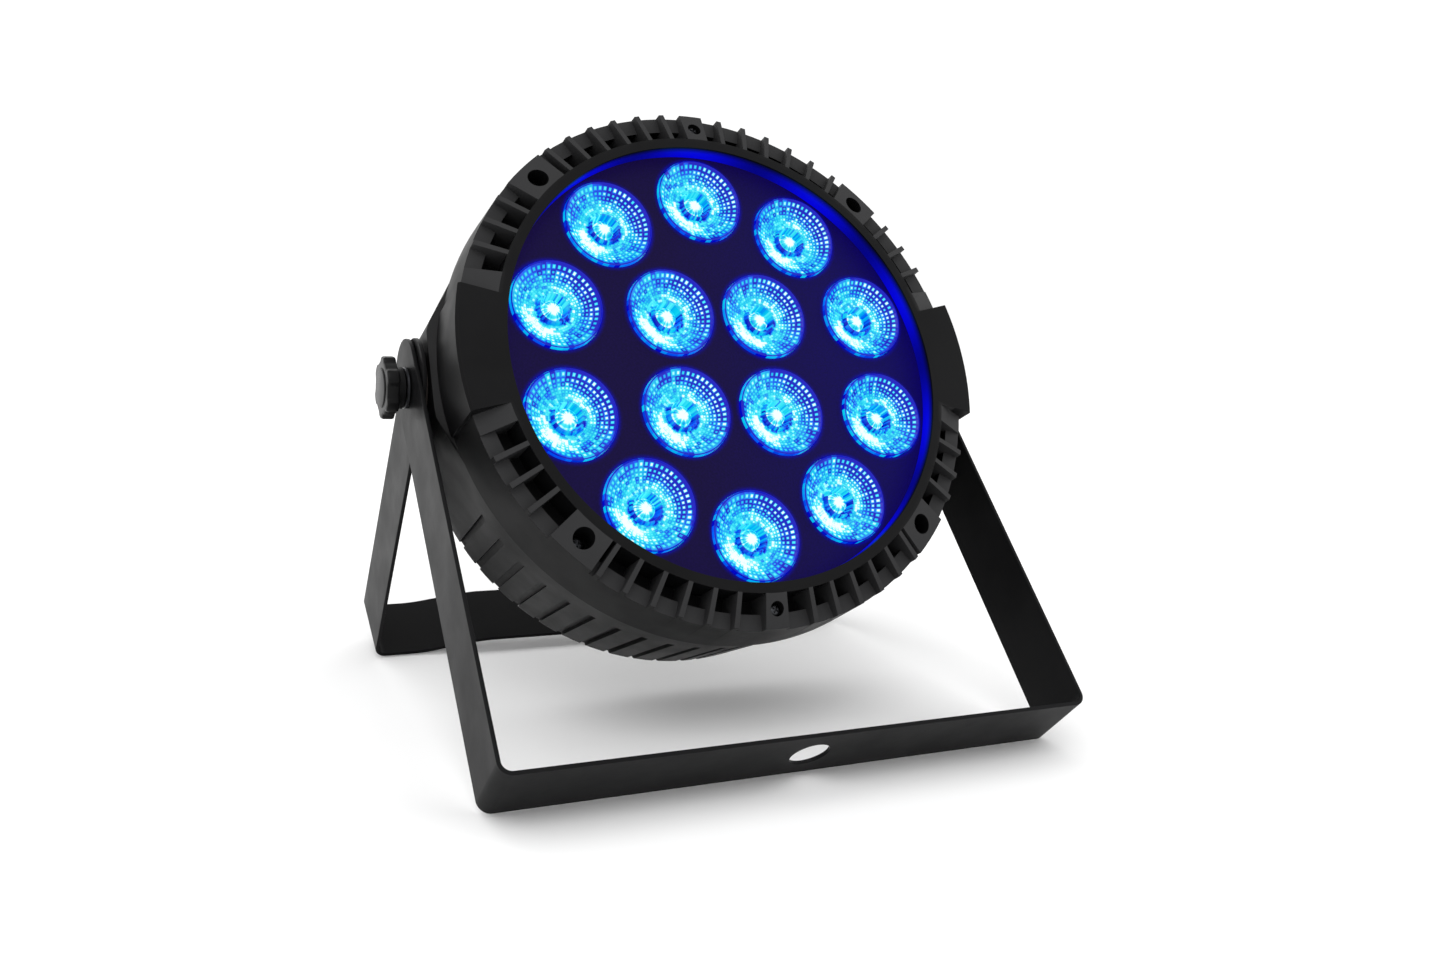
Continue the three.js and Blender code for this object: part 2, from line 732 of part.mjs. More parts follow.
function fanRotor() {
  const front = fanFront + fanStrut.depth + gap;
  const back = fanBack - 1;
  const hub = cut(
    barY(fanHubRadius, front, back),
    barY(fanPin.radius + gap, front - overcut, fanFront + fanPin.reach + gap, 0, 0, screwSegments),
  );
  const blades = Array.from({ length: fanBlades }, (_, i) => {
    const root = fanHubRadius - overcut;
    const geometry = new THREE.BoxGeometry(fanBlade.thickness, fanBlade.chord, fanTip - root);
    geometry.rotateZ(turns(fanBlade.pitch));
    geometry.translate(0, (front + back) / 2, (fanTip + root) / 2);
    geometry.rotateY((i * 2 * Math.PI) / fanBlades);
    return solid(geometry);
  });
  return join(hub, ...blades).translate(0, 0, fanUp);
}

// Mains inlet: a flanged cup with three flat blades.
function powerInlet() {
  const [x, z] = inletPlace;
  const halfW = inlet.width / 2;
  const halfH = inlet.height / 2;
  const inside = socketFace - inlet.depth;
  const body = join(
    box(
      x - inlet.flangeWidth / 2,
      x + inlet.flangeWidth / 2,
      socketFace - socketFlange,
      socketFace,
      z - inlet.flangeHeight / 2,
      z + inlet.flangeHeight / 2,
    ),
    box(x - halfW, x + halfW, inside, socketFace - 1, z - halfH, z + halfH),
  );
  const cupW = halfW - inlet.wall;
  const cupH = halfH - inlet.wall;
  const floor = socketFace - inlet.cup;
  const cup = box(x - cupW, x + cupW, floor, socketFace + overcut, z - cupH, z + cupH);
  const bladeW = inletBlade.width / 2;
  const bladeH = inletBlade.height / 2;
  const blades = bladePlaces.map(([dx, dz]) =>
    box(
      x + dx - bladeW,
      x + dx + bladeW,
      floor - 1,
      socketFace - inletBlade.tip,
      z + dz - bladeH,
      z + dz + bladeH,
    ),
  );
  return join(cut(body, cup), ...blades);
}

// Fuse carrier: a round cap with a coin slot on a body that reaches inside.
function fuseHolder() {
  const [x, z] = fusePlace;
  const cap = join(
    barY(fuse.cap, socketFace - socketFlange, socketFace + fuse.proud, x, z),
    barY(fuse.radius, socketFace - fuse.depth, socketFace - 1, x, z),
  );
  const halfL = fuse.slotLength / 2;
  const halfW = fuse.slotWidth / 2;
  return cut(cap, box(x - halfL, x + halfL, socketFace + gap, socketFace + overcut, z - halfW, z + halfW));
}

// Three-pole signal sockets: the way in has pins in a cup, the way out a filled face with holes.
function signalShell([x, z], cupDepth) {
  const body = join(
    barY(signal.flange, socketFace - socketFlange, socketFace, x, z),
    barY(signal.radius, socketFace - signal.depth, socketFace - 1, x, z),
  );
  return cut(body, barY(signal.cup, socketFace - cupDepth, socketFace + overcut, x, z));
}

function signalIn() {
  const [x, z] = signalInPlace;
  const floor = socketFace - signal.inCup;
  const pins = pinPlaces.map(([dx, dz]) =>
    barY(signalPin.radius, floor - 1, socketFace - signalPin.tip, x + dx, z + dz, screwSegments),
  );
  return join(signalShell(signalInPlace, signal.inCup), ...pins);
}

function signalOut() {
  const [x, z] = signalOutPlace;
  const floor = socketFace - signal.outCup;
  const core = barY(signal.cup - 1.4, floor - 1, socketFace - 0.8, x, z);
  const holes = pinPlaces.map(([dx, dz]) =>
    barY(signalPin.radius, floor + 1, socketFace + overcut, x + dx, z + dz, screwSegments),
  );
  return cut(join(signalShell(signalOutPlace, signal.outCup), core), ...holes);
}

// Lug for a safety wire, screwed to the top of the rear cover.
function safetyEye() {
  const face = coverFace + gap;
  const halfW = eyeFoot.width / 2;
  const halfH = eyeFoot.height / 2;
  const foot = box(-halfW, halfW, face, face + eyeFoot.thickness, eyeUp - halfH, eyeUp + halfH);
  const seat = face + eyeFoot.thickness / 2;
  const middle = seat + eyeLug.rise;
  const outline = new THREE.Shape();
  outline.moveTo(-eyeLug.radius, seat);
  outline.lineTo(eyeLug.radius, seat);
  outline.lineTo(eyeLug.radius, middle);
  outline.absarc(0, middle, eyeLug.radius, 0, Math.PI, false);
  const bore = new THREE.Path();
  bore.absarc(0, middle + 0.5, eyeLug.bore, 0, 2 * Math.PI, true);
  outline.holes.push(bore);
  const depth = eyeLug.thickness;
  const geometry = new THREE.ExtrudeGeometry(outline, { depth, bevelEnabled: false, curveSegments: 8 });
  geometry.translate(0, 0, eyeUp - depth / 2);
  return join(foot, solid(geometry));
}

// ---------------------------------------------------------------- screws

// A pan-head screw along Y, its head towards -Y.
function screwAlong(size, x, z) {
  return turned(
    [
      [0, -size.headHeight],
      [size.head * 0.7, -size.headHeight],
      [size.head, -size.headHeight * 0.5],
      [size.head, 0],
      [size.shank, 0],
      [size.shank, size.length],
      [0, size.length + 1],
    ],
    screwSegments,
  ).translate(x, 0, z);
}

// ---------------------------------------------------------------- pivot hardware, for one side

function insertNut(side) {
  const inner = side * (bossFace - insertLength);
  const outer = side * (bossFace - gap);
  return cut(
    barX(insertRadius, inner, outer, pivotBack, pivotUp),
    barX(studRadius + gap, inner - side * overcut, outer + side * overcut, pivotBack, pivotUp),
  );
}

function ringAtPivot(side, radius, face, thickness) {
  return cut(
    barX(radius, side * face, side * (face + thickness), pivotBack, pivotUp),
    barX(studRadius + gap, side * (face - 1), side * (face + thickness + 1), pivotBack, pivotUp),
  );
}

// Clamp knob: six lobes on a round core, moulded on a threaded stud.
function knob(side) {
  const outline = new THREE.Shape();
  const steps = knobLobes * 6;
  for (let i = 0; i < steps; i++) {
    const angle = (i * 2 * Math.PI) / steps;
    const radius = knobRadius - (knobFlute / 2) * (1 - Math.tanh(3 * Math.cos(knobLobes * angle)));
    const point = [radius * Math.cos(angle), radius * Math.sin(angle)];
    if (i === 0) outline.moveTo(...point);
    else outline.lineTo(...point);
  }
  const head = new THREE.ExtrudeGeometry(outline, { depth: knobHeadLength, bevelEnabled: false });
  head.translate(0, 0, knobFace + knobCoreLength);
  head.rotateY((side * Math.PI) / 2);
  head.translate(0, pivotBack, pivotUp);
  return join(
    solid(head),
    barX(knobCoreRadius, side * knobFace, side * (knobFace + knobCoreLength + 1), pivotBack, pivotUp),
    barX(studRadius, side * (bossFace - insertLength + 2), side * (knobFace + 1), pivotBack, pivotUp),
  );
}

// ---------------------------------------------------------------- brackets

// The middle line of a bent strip as [x, z, normal x, normal z], with a round bend at each corner.
function bentLine(corners, radii) {
  const line = [];
  const bendSteps = 4;
  corners.forEach(([x, z], i) => {
    const before = corners[i - 1];
    const after = corners[i + 1];
    const direction = (from, to) => new THREE.Vector2(to[0] - from[0], to[1] - from[1]).normalize();
    if (!before || !after) {
      const along = before ? direction(before, [x, z]) : direction([x, z], after);
      line.push([x, z, -along.y, along.x]);
      return;
    }
    const into = direction(before, [x, z]);
    const out = direction([x, z], after);
    const turn = Math.atan2(into.x * out.y - into.y * out.x, into.x * out.x + into.y * out.y);
    const radius = radii[i];
    const run = radius * Math.tan(Math.abs(turn) / 2);
    const side = Math.sign(turn);
    const cx = x - into.x * run - side * into.y * radius;
    const cz = z - into.y * run + side * into.x * radius;
    for (let step = 0; step <= bendSteps; step++) {
      const heading = Math.atan2(into.y, into.x) + (turn * step) / bendSteps;
      const nx = -Math.sin(heading);
      const nz = Math.cos(heading);
      line.push([cx - side * radius * nx, cz - side * radius * nz, nx, nz]);
    }
  });
  return line;
}

// A flat strip bent along a line in the X-Z plane, its width along Y, pivot at the origin.
function bracket(corners, radii, baseFace) {
  const line = bentLine(corners, radii);
  const half = stripThickness / 2;
  const outline = new THREE.Shape(
    [
      ...line.map(([x, z, nx, nz]) => [x + half * nx, z + half * nz]),
      ...line.map(([x, z, nx, nz]) => [x - half * nx, z - half * nz]).reverse(),
    ].map(([x, z]) => new THREE.Vector2(x, z)),
  );
  const geometry = new THREE.ExtrudeGeometry(outline, { depth: stripWidth, bevelEnabled: false });
  geometry.translate(0, 0, -stripWidth / 2);
  geometry.rotateX(Math.PI / 2);
  const width = frontHalfWidth + overcut;
  const tipCentre = stripTip - tipRadius;
  const corner = cut(
    box(-width, width, -tipRadius - overcut, tipRadius + overcut, tipCentre, stripTip + overcut),
    barX(tipRadius, -width - 1, width + 1, 0, tipCentre, 2 * lensSegments),
  );
  const depth = 2 * (joggleHeight + stripThickness);
  const hangHole = new THREE.CylinderGeometry(hangHoleRadius, hangHoleRadius, depth, smallSegments);
  hangHole.rotateX(Math.PI / 2);
  hangHole.translate(0, 0, baseFace);
  return cut(solid(geometry), corner, barX(studRadius + gap, -width, width, 0, 0), solid(hangHole));
}

function frontBracket() {
  const half = stripThickness / 2;
  const x = frontHalfWidth - half;
  const z = half - frontDrop;
  const bend = bendRadius - half;
  return bracket(
    [
      [-x, stripTip],
      [-x, z],
      [x, z],
      [x, stripTip],
    ],
    [0, bend, bend, 0],
    z,
  );
}

// The rear bracket's base steps up towards the pivot between two gentle joggles.
function rearBracket() {
  const half = stripThickness / 2;
  const x = rearHalfWidth - half;
  const z = half - rearDrop;
  const bend = bendRadius - half;
  const start = x - joggleInset;
  const end = start - joggleLength;
  const raised = z + joggleHeight;
  return bracket(
    [
      [-x, stripTip],
      [-x, z],
      [-start, z],
      [-end, raised],
      [end, raised],
      [start, z],
      [x, z],
      [x, stripTip],
    ],
    [0, bend, joggleRadius, joggleRadius, joggleRadius, joggleRadius, bend, 0],
    raised,
  );
}

// ---------------------------------------------------------------- assembly

const parCan = new THREE.Group();
const atPivot = new THREE.Group();
atPivot.position.z = pivotHeight;
parCan.add(atPivot);

const head = new THREE.Group();
head.rotation.x = -turns(headTilt);
atPivot.add(head);
const headPieces = new THREE.Group();
headPieces.position.set(0, -pivotBack, -pivotUp);
head.add(headPieces);

addPart(headPieces, "front_bezel", frontBezel(), blackPlastic);
addPart(headPieces, "lens_plate", lensPlate(), plateFinish);
lensCentres.forEach((centre, i) => {
  addPart(headPieces, "lens_" + String(i + 1).padStart(2, "0"), lens(centre), litLens);
});
addPart(headPieces, "led_board", ledBoard(), whiteBoard);
addPart(headPieces, "heat_sink", heatSink(), aluminium);
addPart(headPieces, "power_board", powerBoard(), greenBoard);
addPart(headPieces, "control_board", controlBoard(), greenBoard);
addPart(headPieces, "fan_frame", fanFrame(), glossPlastic);
addPart(headPieces, "fan_rotor", fanRotor(), glossPlastic);
addPart(headPieces, "rear_housing", rearHousing(), blackPlastic);
addPart(headPieces, "rear_cover", rearCover(), blackPlastic);
addPart(headPieces, "display_window", displayWindow(), windowFinish);
buttonPlaces.forEach((place, i) => {
  addPart(headPieces, "menu_button_" + (i + 1), menuButton(place), glossPlastic);
});
addPart(headPieces, "power_inlet", powerInlet(), glossPlastic);
addPart(headPieces, "fuse_holder", fuseHolder(), glossPlastic);
addPart(headPieces, "signal_in_socket", signalIn(), steel);
addPart(headPieces, "signal_out_socket", signalOut(), steel);
addPart(headPieces, "safety_eye", safetyEye(), blackSteel);

const padSeat = pocketFloor - bezelWall - gap;
bothSides(padAngles).forEach((angle, i) => {
  const made = screwAlong(bezelScrew, ...polar(padScrewRadius, angle)).translate(0, padSeat, 0);
  addPart(headPieces, "bezel_screw_" + (i + 1), made, blackSteel);
});
const tabSeat = ringFace + rimSlope + tabScrew.headHeight - gap;
[0, 180].forEach((angle, i) => {
  const made = screwAlong(tabScrew, ...polar(padScrewRadius, angle)).translate(0, tabSeat, 0);
  addPart(headPieces, "tab_screw_" + (i + 1), made, steel);
});
coverScrewAngles.forEach((angle, i) => {
  const [x, z] = polar(coverScrewRadius, angle);
  const made = screwAlong(coverScrew, 0, 0).rotate([0, 0, 180]).translate(x, coverFace + gap, z);
  addPart(headPieces, "cover_screw_" + (i + 1), made, blackSteel);
});

for (const [side, word] of [
  [-1, "left"],
  [1, "right"],
]) {
  addPart(headPieces, "pivot_insert_" + word, insertNut(side), brass);
  const friction = ringAtPivot(side, frictionRadius, frictionFace, frictionThickness);
  addPart(headPieces, "friction_washer_" + word, friction, fibre);
  const washer = ringAtPivot(side, washerRadius, washerFace, washerThickness);
  addPart(headPieces, "clamp_washer_" + word, washer, steel);
  addPart(headPieces, "clamp_knob_" + word, knob(side), glossPlastic);
}

const frontStand = new THREE.Group();
frontStand.rotation.x = -frontLeanAngle;
atPivot.add(frontStand);
addPart(frontStand, "front_bracket", frontBracket(), blackPaint);

const rearStand = new THREE.Group();
rearStand.rotation.x = rearLeanAngle;
atPivot.add(rearStand);
addPart(rearStand, "rear_bracket", rearBracket(), blackPaint);

// The origin is the middle of the footprint's box, on the floor.
const footprint = new THREE.Box3().setFromObject(parCan, true);
atPivot.position.y = -footprint.getCenter(new THREE.Vector3()).y;

export default parCan;
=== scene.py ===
"""Par can light: the looks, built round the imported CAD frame."""

import json
import math
from types import SimpleNamespace

import bmesh
import bpy
import numpy as np
from bpy.props import FloatProperty, FloatVectorProperty, IntProperty, PointerProperty
from mathutils import Matrix, Vector


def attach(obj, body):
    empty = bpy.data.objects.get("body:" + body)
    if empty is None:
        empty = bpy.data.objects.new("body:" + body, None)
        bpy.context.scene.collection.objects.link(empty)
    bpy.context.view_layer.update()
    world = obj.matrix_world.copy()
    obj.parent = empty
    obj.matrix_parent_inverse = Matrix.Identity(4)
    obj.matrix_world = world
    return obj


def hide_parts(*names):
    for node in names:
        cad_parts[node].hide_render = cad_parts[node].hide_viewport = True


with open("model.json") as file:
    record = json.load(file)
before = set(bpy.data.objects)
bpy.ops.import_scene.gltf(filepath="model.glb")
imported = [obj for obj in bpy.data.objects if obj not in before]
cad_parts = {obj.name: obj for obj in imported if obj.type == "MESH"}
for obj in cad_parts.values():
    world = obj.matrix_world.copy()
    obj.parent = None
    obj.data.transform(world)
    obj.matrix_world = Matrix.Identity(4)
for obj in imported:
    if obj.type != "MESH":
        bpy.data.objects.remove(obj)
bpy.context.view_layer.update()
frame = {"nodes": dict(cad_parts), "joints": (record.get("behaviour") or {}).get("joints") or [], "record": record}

bl_info = {
    "name": "Par can light",
    "version": (1, 0, 0),
    "blender": (4, 5, 0),
    "location": "3D View > Sidebar > Par can",
    "description": "Builds a flat LED par can on its double bracket, with a studio stage",
    "category": "Add Mesh",
}

MM = 0.001
TURN = 2 * math.pi
ROUND = 144  # segments of the large rounds


def mm(**lengths):
    """Lengths given in millimetres, as a namespace in metres."""
    return SimpleNamespace(**{key: value * MM for key, value in lengths.items()})


def linear(code):
    """An sRGB hex colour as linear red, green, blue and alpha."""
    values = [int(code[i : i + 2], 16) / 255 for i in (0, 2, 4)]
    return [v / 12.92 if v <= 0.04045 else ((v + 0.055) / 1.055) ** 2.4 for v in values] + [1.0]


def size(name, millimetres, description):
    return FloatProperty(
        name=name, description=description, default=millimetres * MM, unit="LENGTH", precision=5
    )


def tint(name, code, description):
    return FloatVectorProperty(
        name=name, description=description, default=linear(code), subtype="COLOR", size=4, min=0, max=1
    )


# ---------------------------------------------------------------- sizes and colours


class ParCanSizes(bpy.types.PropertyGroup):
    """Sizes of the head, its lenses and its brackets."""

    outer_lenses: IntProperty(name="Outer lenses", description="Lenses in the outer ring", default=10)
    inner_lenses: IntProperty(name="Inner lenses", description="Lenses in the inner ring", default=4)
    lens_radius: size("Lens radius", 18.5, "Radius of one lens")
    outer_space: size("Outer space", 7.2, "Space between neighbours in the outer ring")
    inner_space: size("Inner space", 4.6, "Space between neighbours in the inner ring")
    lens_dish: size("Lens dish", 5.2, "Depth of the faceted dish in a lens")
    opening_margin: size("Opening margin", 1.5, "Bezel opening outside the outer lenses")
    ledge_width: size("Ledge width", 1.9, "Lens plate behind the edge of the opening")
    plate_setback: size("Plate setback", 1.5, "Plate face behind the lens faces")
    plate_thickness: size("Plate thickness", 2, "Thickness of the lens plate")
    ring_proud: size("Ring height", 6.7, "Bezel ring ahead of the lens faces")
    ring_width: size("Ring width", 4.1, "Width of the plain bezel ring")
    rim_width: size("Rim width", 12.9, "From the plain ring to the rib tips")
    rim_slope: size("Rim slope", 3.5, "How far the rib tops fall back over the rim")
    step_slope: size("Step slope", 6.2, "How far the step blocks fall back over the rim")
    pocket_width: size("Pocket width", 6.6, "Width of the deep pockets")
    pocket_depth: size("Pocket depth", 13.5, "Ring face to pocket floor")
    bezel_wall: size("Bezel wall", 2.4, "Wall of the bezel moulding")
    bezel_depth: size("Bezel depth", 28.2, "Ring face to parting line")
    skirt_draft: size("Skirt draft", 1.1, "How far the bezel skirt widens to the back")
    rib_width: size("Rib width", 2, "Width of a rib")
    pad_width: size("Pad width", 18, "Width of a screw pad")
    tab_width: size("Tab width", 9.4, "Width of the tabs and step blocks")
    shoulder_proud: size("Shoulder height", 2.1, "Shoulders outside the rib tips")
    housing_wall: size("Housing wall", 3, "Wall of the rear housing")
    housing_step: size("Housing step", 1.2, "Housing inside the skirt at the parting line")
    housing_depth: size("Housing depth", 63.2, "Parting line to the back")
    housing_taper: size("Housing taper", 4.6, "How much the housing narrows to the back")
    back_round: size("Back rounding", 6, "Rounding of the housing's back edge")
    boss_proud: size("Boss height", 2, "Pivot boss face outside the shoulders")
    boss_half_height: size("Boss half height", 20, "Half the height of a pivot boss")
    boss_half_depth: size("Boss half depth", 17, "Half the depth of a pivot boss")
    groove_width: size("Groove width", 3, "Width of a cooling groove")
    groove_depth: size("Groove depth", 1.9, "Depth of a cooling groove")
    groove_start: size("Groove start", 14.3, "Parting line to the grooves")
    cover_proud: size("Cover height", 0.7, "Rear cover behind the housing's back")
    cover_thickness: size("Cover thickness", 2.4, "Thickness of the rear cover")
    cover_margin: size("Cover margin", 4.4, "Cover edge inside the flat of the back")
    pivot_back: size("Pivot setback", 40.5, "Pivot behind the lens faces")
    pivot_up: size("Pivot height", 3.4, "Pivot above the lens axis")
    strip_width: size("Strip width", 30, "Width of the bracket strip")
    strip_thickness: size("Strip thickness", 1.5, "Thickness of the bracket strip")
    strip_tip: size("Strip tip", 20, "Bracket strip past the pivot")
    bend_radius: size("Bend radius", 5, "Outside radius of the bracket bends")
    joggle_height: size("Joggle height", 5, "Step in the rear bracket's base")
    joggle_inset: size("Joggle inset", 20, "Bracket corner to the start of the step")
    joggle_length: size("Joggle length", 27, "Length of the step")
    joggle_radius: size("Joggle radius", 60, "Radius of the step's bends")
    hang_hole: size("Hang hole radius", 7.6, "Hole in the middle of each base")
    stud_radius: size("Stud radius", 4, "Threaded stud of the clamp knobs")
    friction_radius: size("Friction washer radius", 14, "Fibre washer at the pivot")
    washer_radius: size("Washer radius", 8, "Steel washer under the knob")
    washer_thickness: size("Washer thickness", 1.2, "Thickness of both pivot washers")
    knob_radius: size("Knob radius", 12, "Clamp knob over its lobes")
    knob_core: size("Knob core radius", 8, "Round core of the knob")
    knob_core_length: size("Knob core length", 3, "Core between washer and lobes")
    knob_head_length: size("Knob head length", 5.4, "Length of the lobed head")
    knob_flute: size("Knob flute", 1.5, "Depth of the hollows between the lobes")
    gap: size("Gap", 0.3, "Room between pieces that touch")


class ParCanColours(bpy.types.PropertyGroup):
    """Colours of the mouldings, paint, lens light and the painted glow on plate and wall."""

    moulding: tint("Moulding", "0d0d0e", "Black ABS of bezel and housing")
    moulding_light: tint("Textured moulding", "29292a", "Spark-textured tops of ribs and pads")
    paint: tint("Bracket paint", "101011", "Satin powder coat")
    light_deep: tint("Deep light", "0004bc", "Darkest colour in a lit lens")
    light_mid: tint("Middle light", "0058f4", "Blue between the facets")
    light_cyan: tint("Cyan light", "02ccec", "Main colour of a lit lens")
    light_white: tint("White light", "f4ffff", "Hottest colour in a lit lens")
    # Painted light: the plate's emission colour, standing in for blue light from the lenses falling on black
    # paint.
    plate_painted_glow: tint("Plate painted glow", "10053c", "Painted indigo glow on the plate")
    # Painted light: the emission colour of the opening's wall, standing in for blue light from the outer lenses.
    wall_painted_glow: tint("Wall painted glow", "0000f0", "Painted blue glow on the wall of the opening")


def own(group):
    """The names of the properties that a group adds."""
    return [key for key in group.bl_rna.properties.keys() if key not in ("rna_type", "name")]


def figures():
    """The sizes, and what follows from them, in metres in the head's own frame."""
    given = bpy.context.scene.par_can_sizes
    f = SimpleNamespace(**{key: getattr(given, key) for key in own(given)})
    f.outer_ring = (2 * f.lens_radius + f.outer_space) / (2 * math.sin(math.pi / f.outer_lenses))
    f.inner_ring = (2 * f.lens_radius + f.inner_space) / (2 * math.sin(math.pi / f.inner_lenses))
    f.opening = f.outer_ring + f.lens_radius + f.opening_margin
    f.plate = f.opening + f.ledge_width
    f.ring = f.opening + f.ring_width
    f.rim = f.ring + f.rim_width
    f.pocket = f.ring + f.pocket_width
    f.skirt = f.rim + f.skirt_draft
    f.shoulder = f.rim + f.shoulder_proud
    f.ring_face = -f.ring_proud
    f.pocket_floor = f.ring_face + f.pocket_depth
    f.bezel_inside = f.pocket_floor + f.bezel_wall
    f.parting = f.ring_face + f.bezel_depth
    f.pad_seat = f.pocket_floor - f.bezel_wall
    f.tab_seat = f.ring_face + f.rim_slope + TAB_SEAT
    f.pad_screw = f.rim - f.bezel_wall - SCREW_COLUMN - f.gap
    f.housing_front = f.parting + f.gap
    f.housing = f.skirt - f.housing_step
    f.housing_back = f.housing_front + f.housing_depth
    f.housing_rear = f.housing - f.housing_taper
    f.cover = f.housing_rear - f.back_round - f.cover_margin
    f.cover_face = f.housing_back + f.cover_proud
    f.cover_inside = f.cover_face - f.cover_thickness
    f.socket_face = f.cover_face + f.gap + FLANGE
    f.boss_face = f.shoulder + f.boss_proud
    f.friction_face = f.boss_face + f.gap
    f.rear_half = f.friction_face + f.washer_thickness + f.gap + f.strip_thickness
    f.front_half = f.rear_half + f.gap + f.strip_thickness
    f.washer_face = f.front_half + f.gap
    f.knob_face = f.washer_face + f.washer_thickness + f.gap
    return f


# Features round the bezel and the housing, in degrees from the top, the same on both sides.
RIBS = [7, 13, 19, 25, 31, 37, 54, 60, 66, 112, 117.8, 123.6, 141.2, 147.2, 153.2, 159.2, 165.2, 171]
PADS = [44.6, 134.6]
TABS = [0, 180]
STEPS = [73.9, 104]
SHOULDER = (76.4, 102.4)
GROOVES = [4 + 6 * i for i in range(8)] + [118 + 6 * i for i in range(11)]
COVER_SCREWS = [45, 135, 225, 315]
BEZEL_STEP = 2.5  # the most degrees between two columns of the bezel's mesh
HOUSING_STEP = 2.0  # and of the housing's

# Screws: radius and height of the head, radius of the shank, length, and radius of the well or hole.
SCREW_COLUMN = 4.5 * MM  # radius of the moulded column that a screw stands in
SCREWS = {
    "pad": mm(head=3.3, height=2.4, shank=1.5, length=18, well=4),
    "small": mm(head=2.5, height=1.6, shank=1.2, length=9, well=2.8),
    "panel": mm(head=2.9, height=1.8, shank=1.5, length=9, well=1.8),
}
TAB_SEAT = 1.6 * MM  # depth of a tab's screw well under the tab's outer end

# Pieces on the rear cover, placed as x and z, or up, from its middle.
FLANGE = 2 * MM  # thickness of the flanges
WINDOW = mm(width=46, height=18, up=40, corner=0.9, proud=0.6)
BUTTONS = [((i - 1.5) * 18 * MM, 23 * MM) for i in range(4)]
BUTTON = mm(radius=4.5, proud=1.8, collar=1.1, collar_height=1.6, inside=2.7)
INLET = mm(x=-38, z=-50, width=27, height=20, flange_width=36, flange_height=24, wall=2, corner=4)
FUSE = mm(x=-10, z=-64, hole=6.3)
SIGNALS = [("signal_in", (14 * MM, -56 * MM), False), ("signal_out", (46 * MM, -50 * MM), True)]
SIGNAL_HOLE = 11.3 * MM
EYE = mm(up=76, radius=9, hole=4.6, rise=7, thickness=3, foot_width=26, foot_height=10, screw=11)
VENT = mm(width=28, height=3, out=58, pitch=9, up=8)
FAN = mm(up=-8, radius=21, pitch=7)
COVER_SCREW_INSET = 2.7 * MM

# ---------------------------------------------------------------- places in the row frame

JOINTS = {joint["name"]: joint for joint in frame["joints"]}
MOUNTS = {mount["name"]: mount for mount in frame["record"]["mounts"]}
PIVOT = Vector(JOINTS["head_tilt"]["pos_m"])


def stand_frame(mount):
    """The frame of a bracket: origin on the pivot, its base straight below it."""
    _, y, z = MOUNTS[mount]["axis"]
    return Matrix.Translation(PIVOT) @ Matrix.Rotation(math.atan2(y, -z), 4, "X")


def base_drop(mount):
    """Pivot to the outer face of a bracket's base."""
    return (Vector(MOUNTS[mount]["pos_m"]) - PIVOT).dot(Vector(MOUNTS[mount]["axis"]))


def head_frame(f):
    """The head's own frame: origin in the middle of the lens faces, Y running back."""
    _, y, z = JOINTS["fan_spin"]["axis"]
    tilt = Matrix.Rotation(math.atan2(z, y), 4, "X")
    return Matrix.Translation(PIVOT) @ tilt @ Matrix.Translation((0, -f.pivot_back, -f.pivot_up))


def pivot_frame(f, side):
    """The frame of one pivot: origin in the head's middle plane, Y running out along the pivot."""
    spot = Matrix.Translation((0, f.pivot_back, f.pivot_up))
    return head_frame(f) @ spot @ Matrix.Rotation(-side * math.pi / 2, 4, "Z")


def polar(radius, degrees):
    """(x, z) at a radius and an angle from the top."""
    angle = math.radians(degrees)
    return radius * math.sin(angle), radius * math.cos(angle)


def both(angles):
    return [side * angle for angle in angles for side in (1, -1)]


def lens_centres(f):
    outer = [polar(f.outer_ring, i * 360 / f.outer_lenses) for i in range(f.outer_lenses)]
    inner = [polar(f.inner_ring, 45 + i * 360 / f.inner_lenses) for i in range(f.inner_lenses)]
    return outer + inner


# ---------------------------------------------------------------- mesh tools


def opened(mesh):
    """A bmesh with the mesh in it."""
    bm = bmesh.new()
    bm.from_mesh(mesh)
    return bm


def written(bm, name):
    """The bmesh as a mesh."""
    mesh = bpy.data.meshes.new(name)
    bm.to_mesh(mesh)
    bm.free()
    return mesh


def mesh_of(bm, name):
    """The bmesh as a mesh with its faces turned outwards."""
    bmesh.ops.recalc_face_normals(bm, faces=bm.faces)
    return written(bm, name)


def baked(obj):
    """The object's mesh with its modifiers applied."""
    graph = bpy.context.evaluated_depsgraph_get()
    mesh = bpy.data.meshes.new_from_object(obj.evaluated_get(graph))
    obj.modifiers.clear()
    obj.data = mesh
    return mesh


def shown(name, data):
    """A new object in the scene."""
    obj = bpy.data.objects.new(name, data)
    bpy.context.scene.collection.objects.link(obj)
    return obj


def softened(mesh, width, segments=2, angle=35):
    """The mesh with its sharp edges rounded."""
    obj = shown("softened", mesh)
    bevel = obj.modifiers.new("edges", "BEVEL")
    bevel.width = width
    bevel.segments = segments
    bevel.limit_method = "ANGLE"
    bevel.angle_limit = math.radians(angle)
    rounded = baked(obj)
    bpy.data.objects.remove(obj)
    return rounded


def cut_by(mesh, *cutters):
    """The mesh less each cutter."""
    obj = shown("cut", mesh)
    tools = [shown("cutter", cutter) for cutter in cutters]
    for tool in tools:
        away = obj.modifiers.new("cut", "BOOLEAN")
        away.operation = "DIFFERENCE"
        away.solver = "EXACT"
        away.object = tool
    left = baked(obj)
    for each in [obj, *tools]:
        bpy.data.objects.remove(each)
    return left


def joined(*meshes):
    """Several meshes as one."""
    bm = bmesh.new()
    for mesh in meshes:
        bm.from_mesh(mesh)
    return written(bm, "joined")


def moved(mesh, x=0, y=0, z=0):
    mesh.transform(Matrix.Translation((x, y, z)))
    return mesh


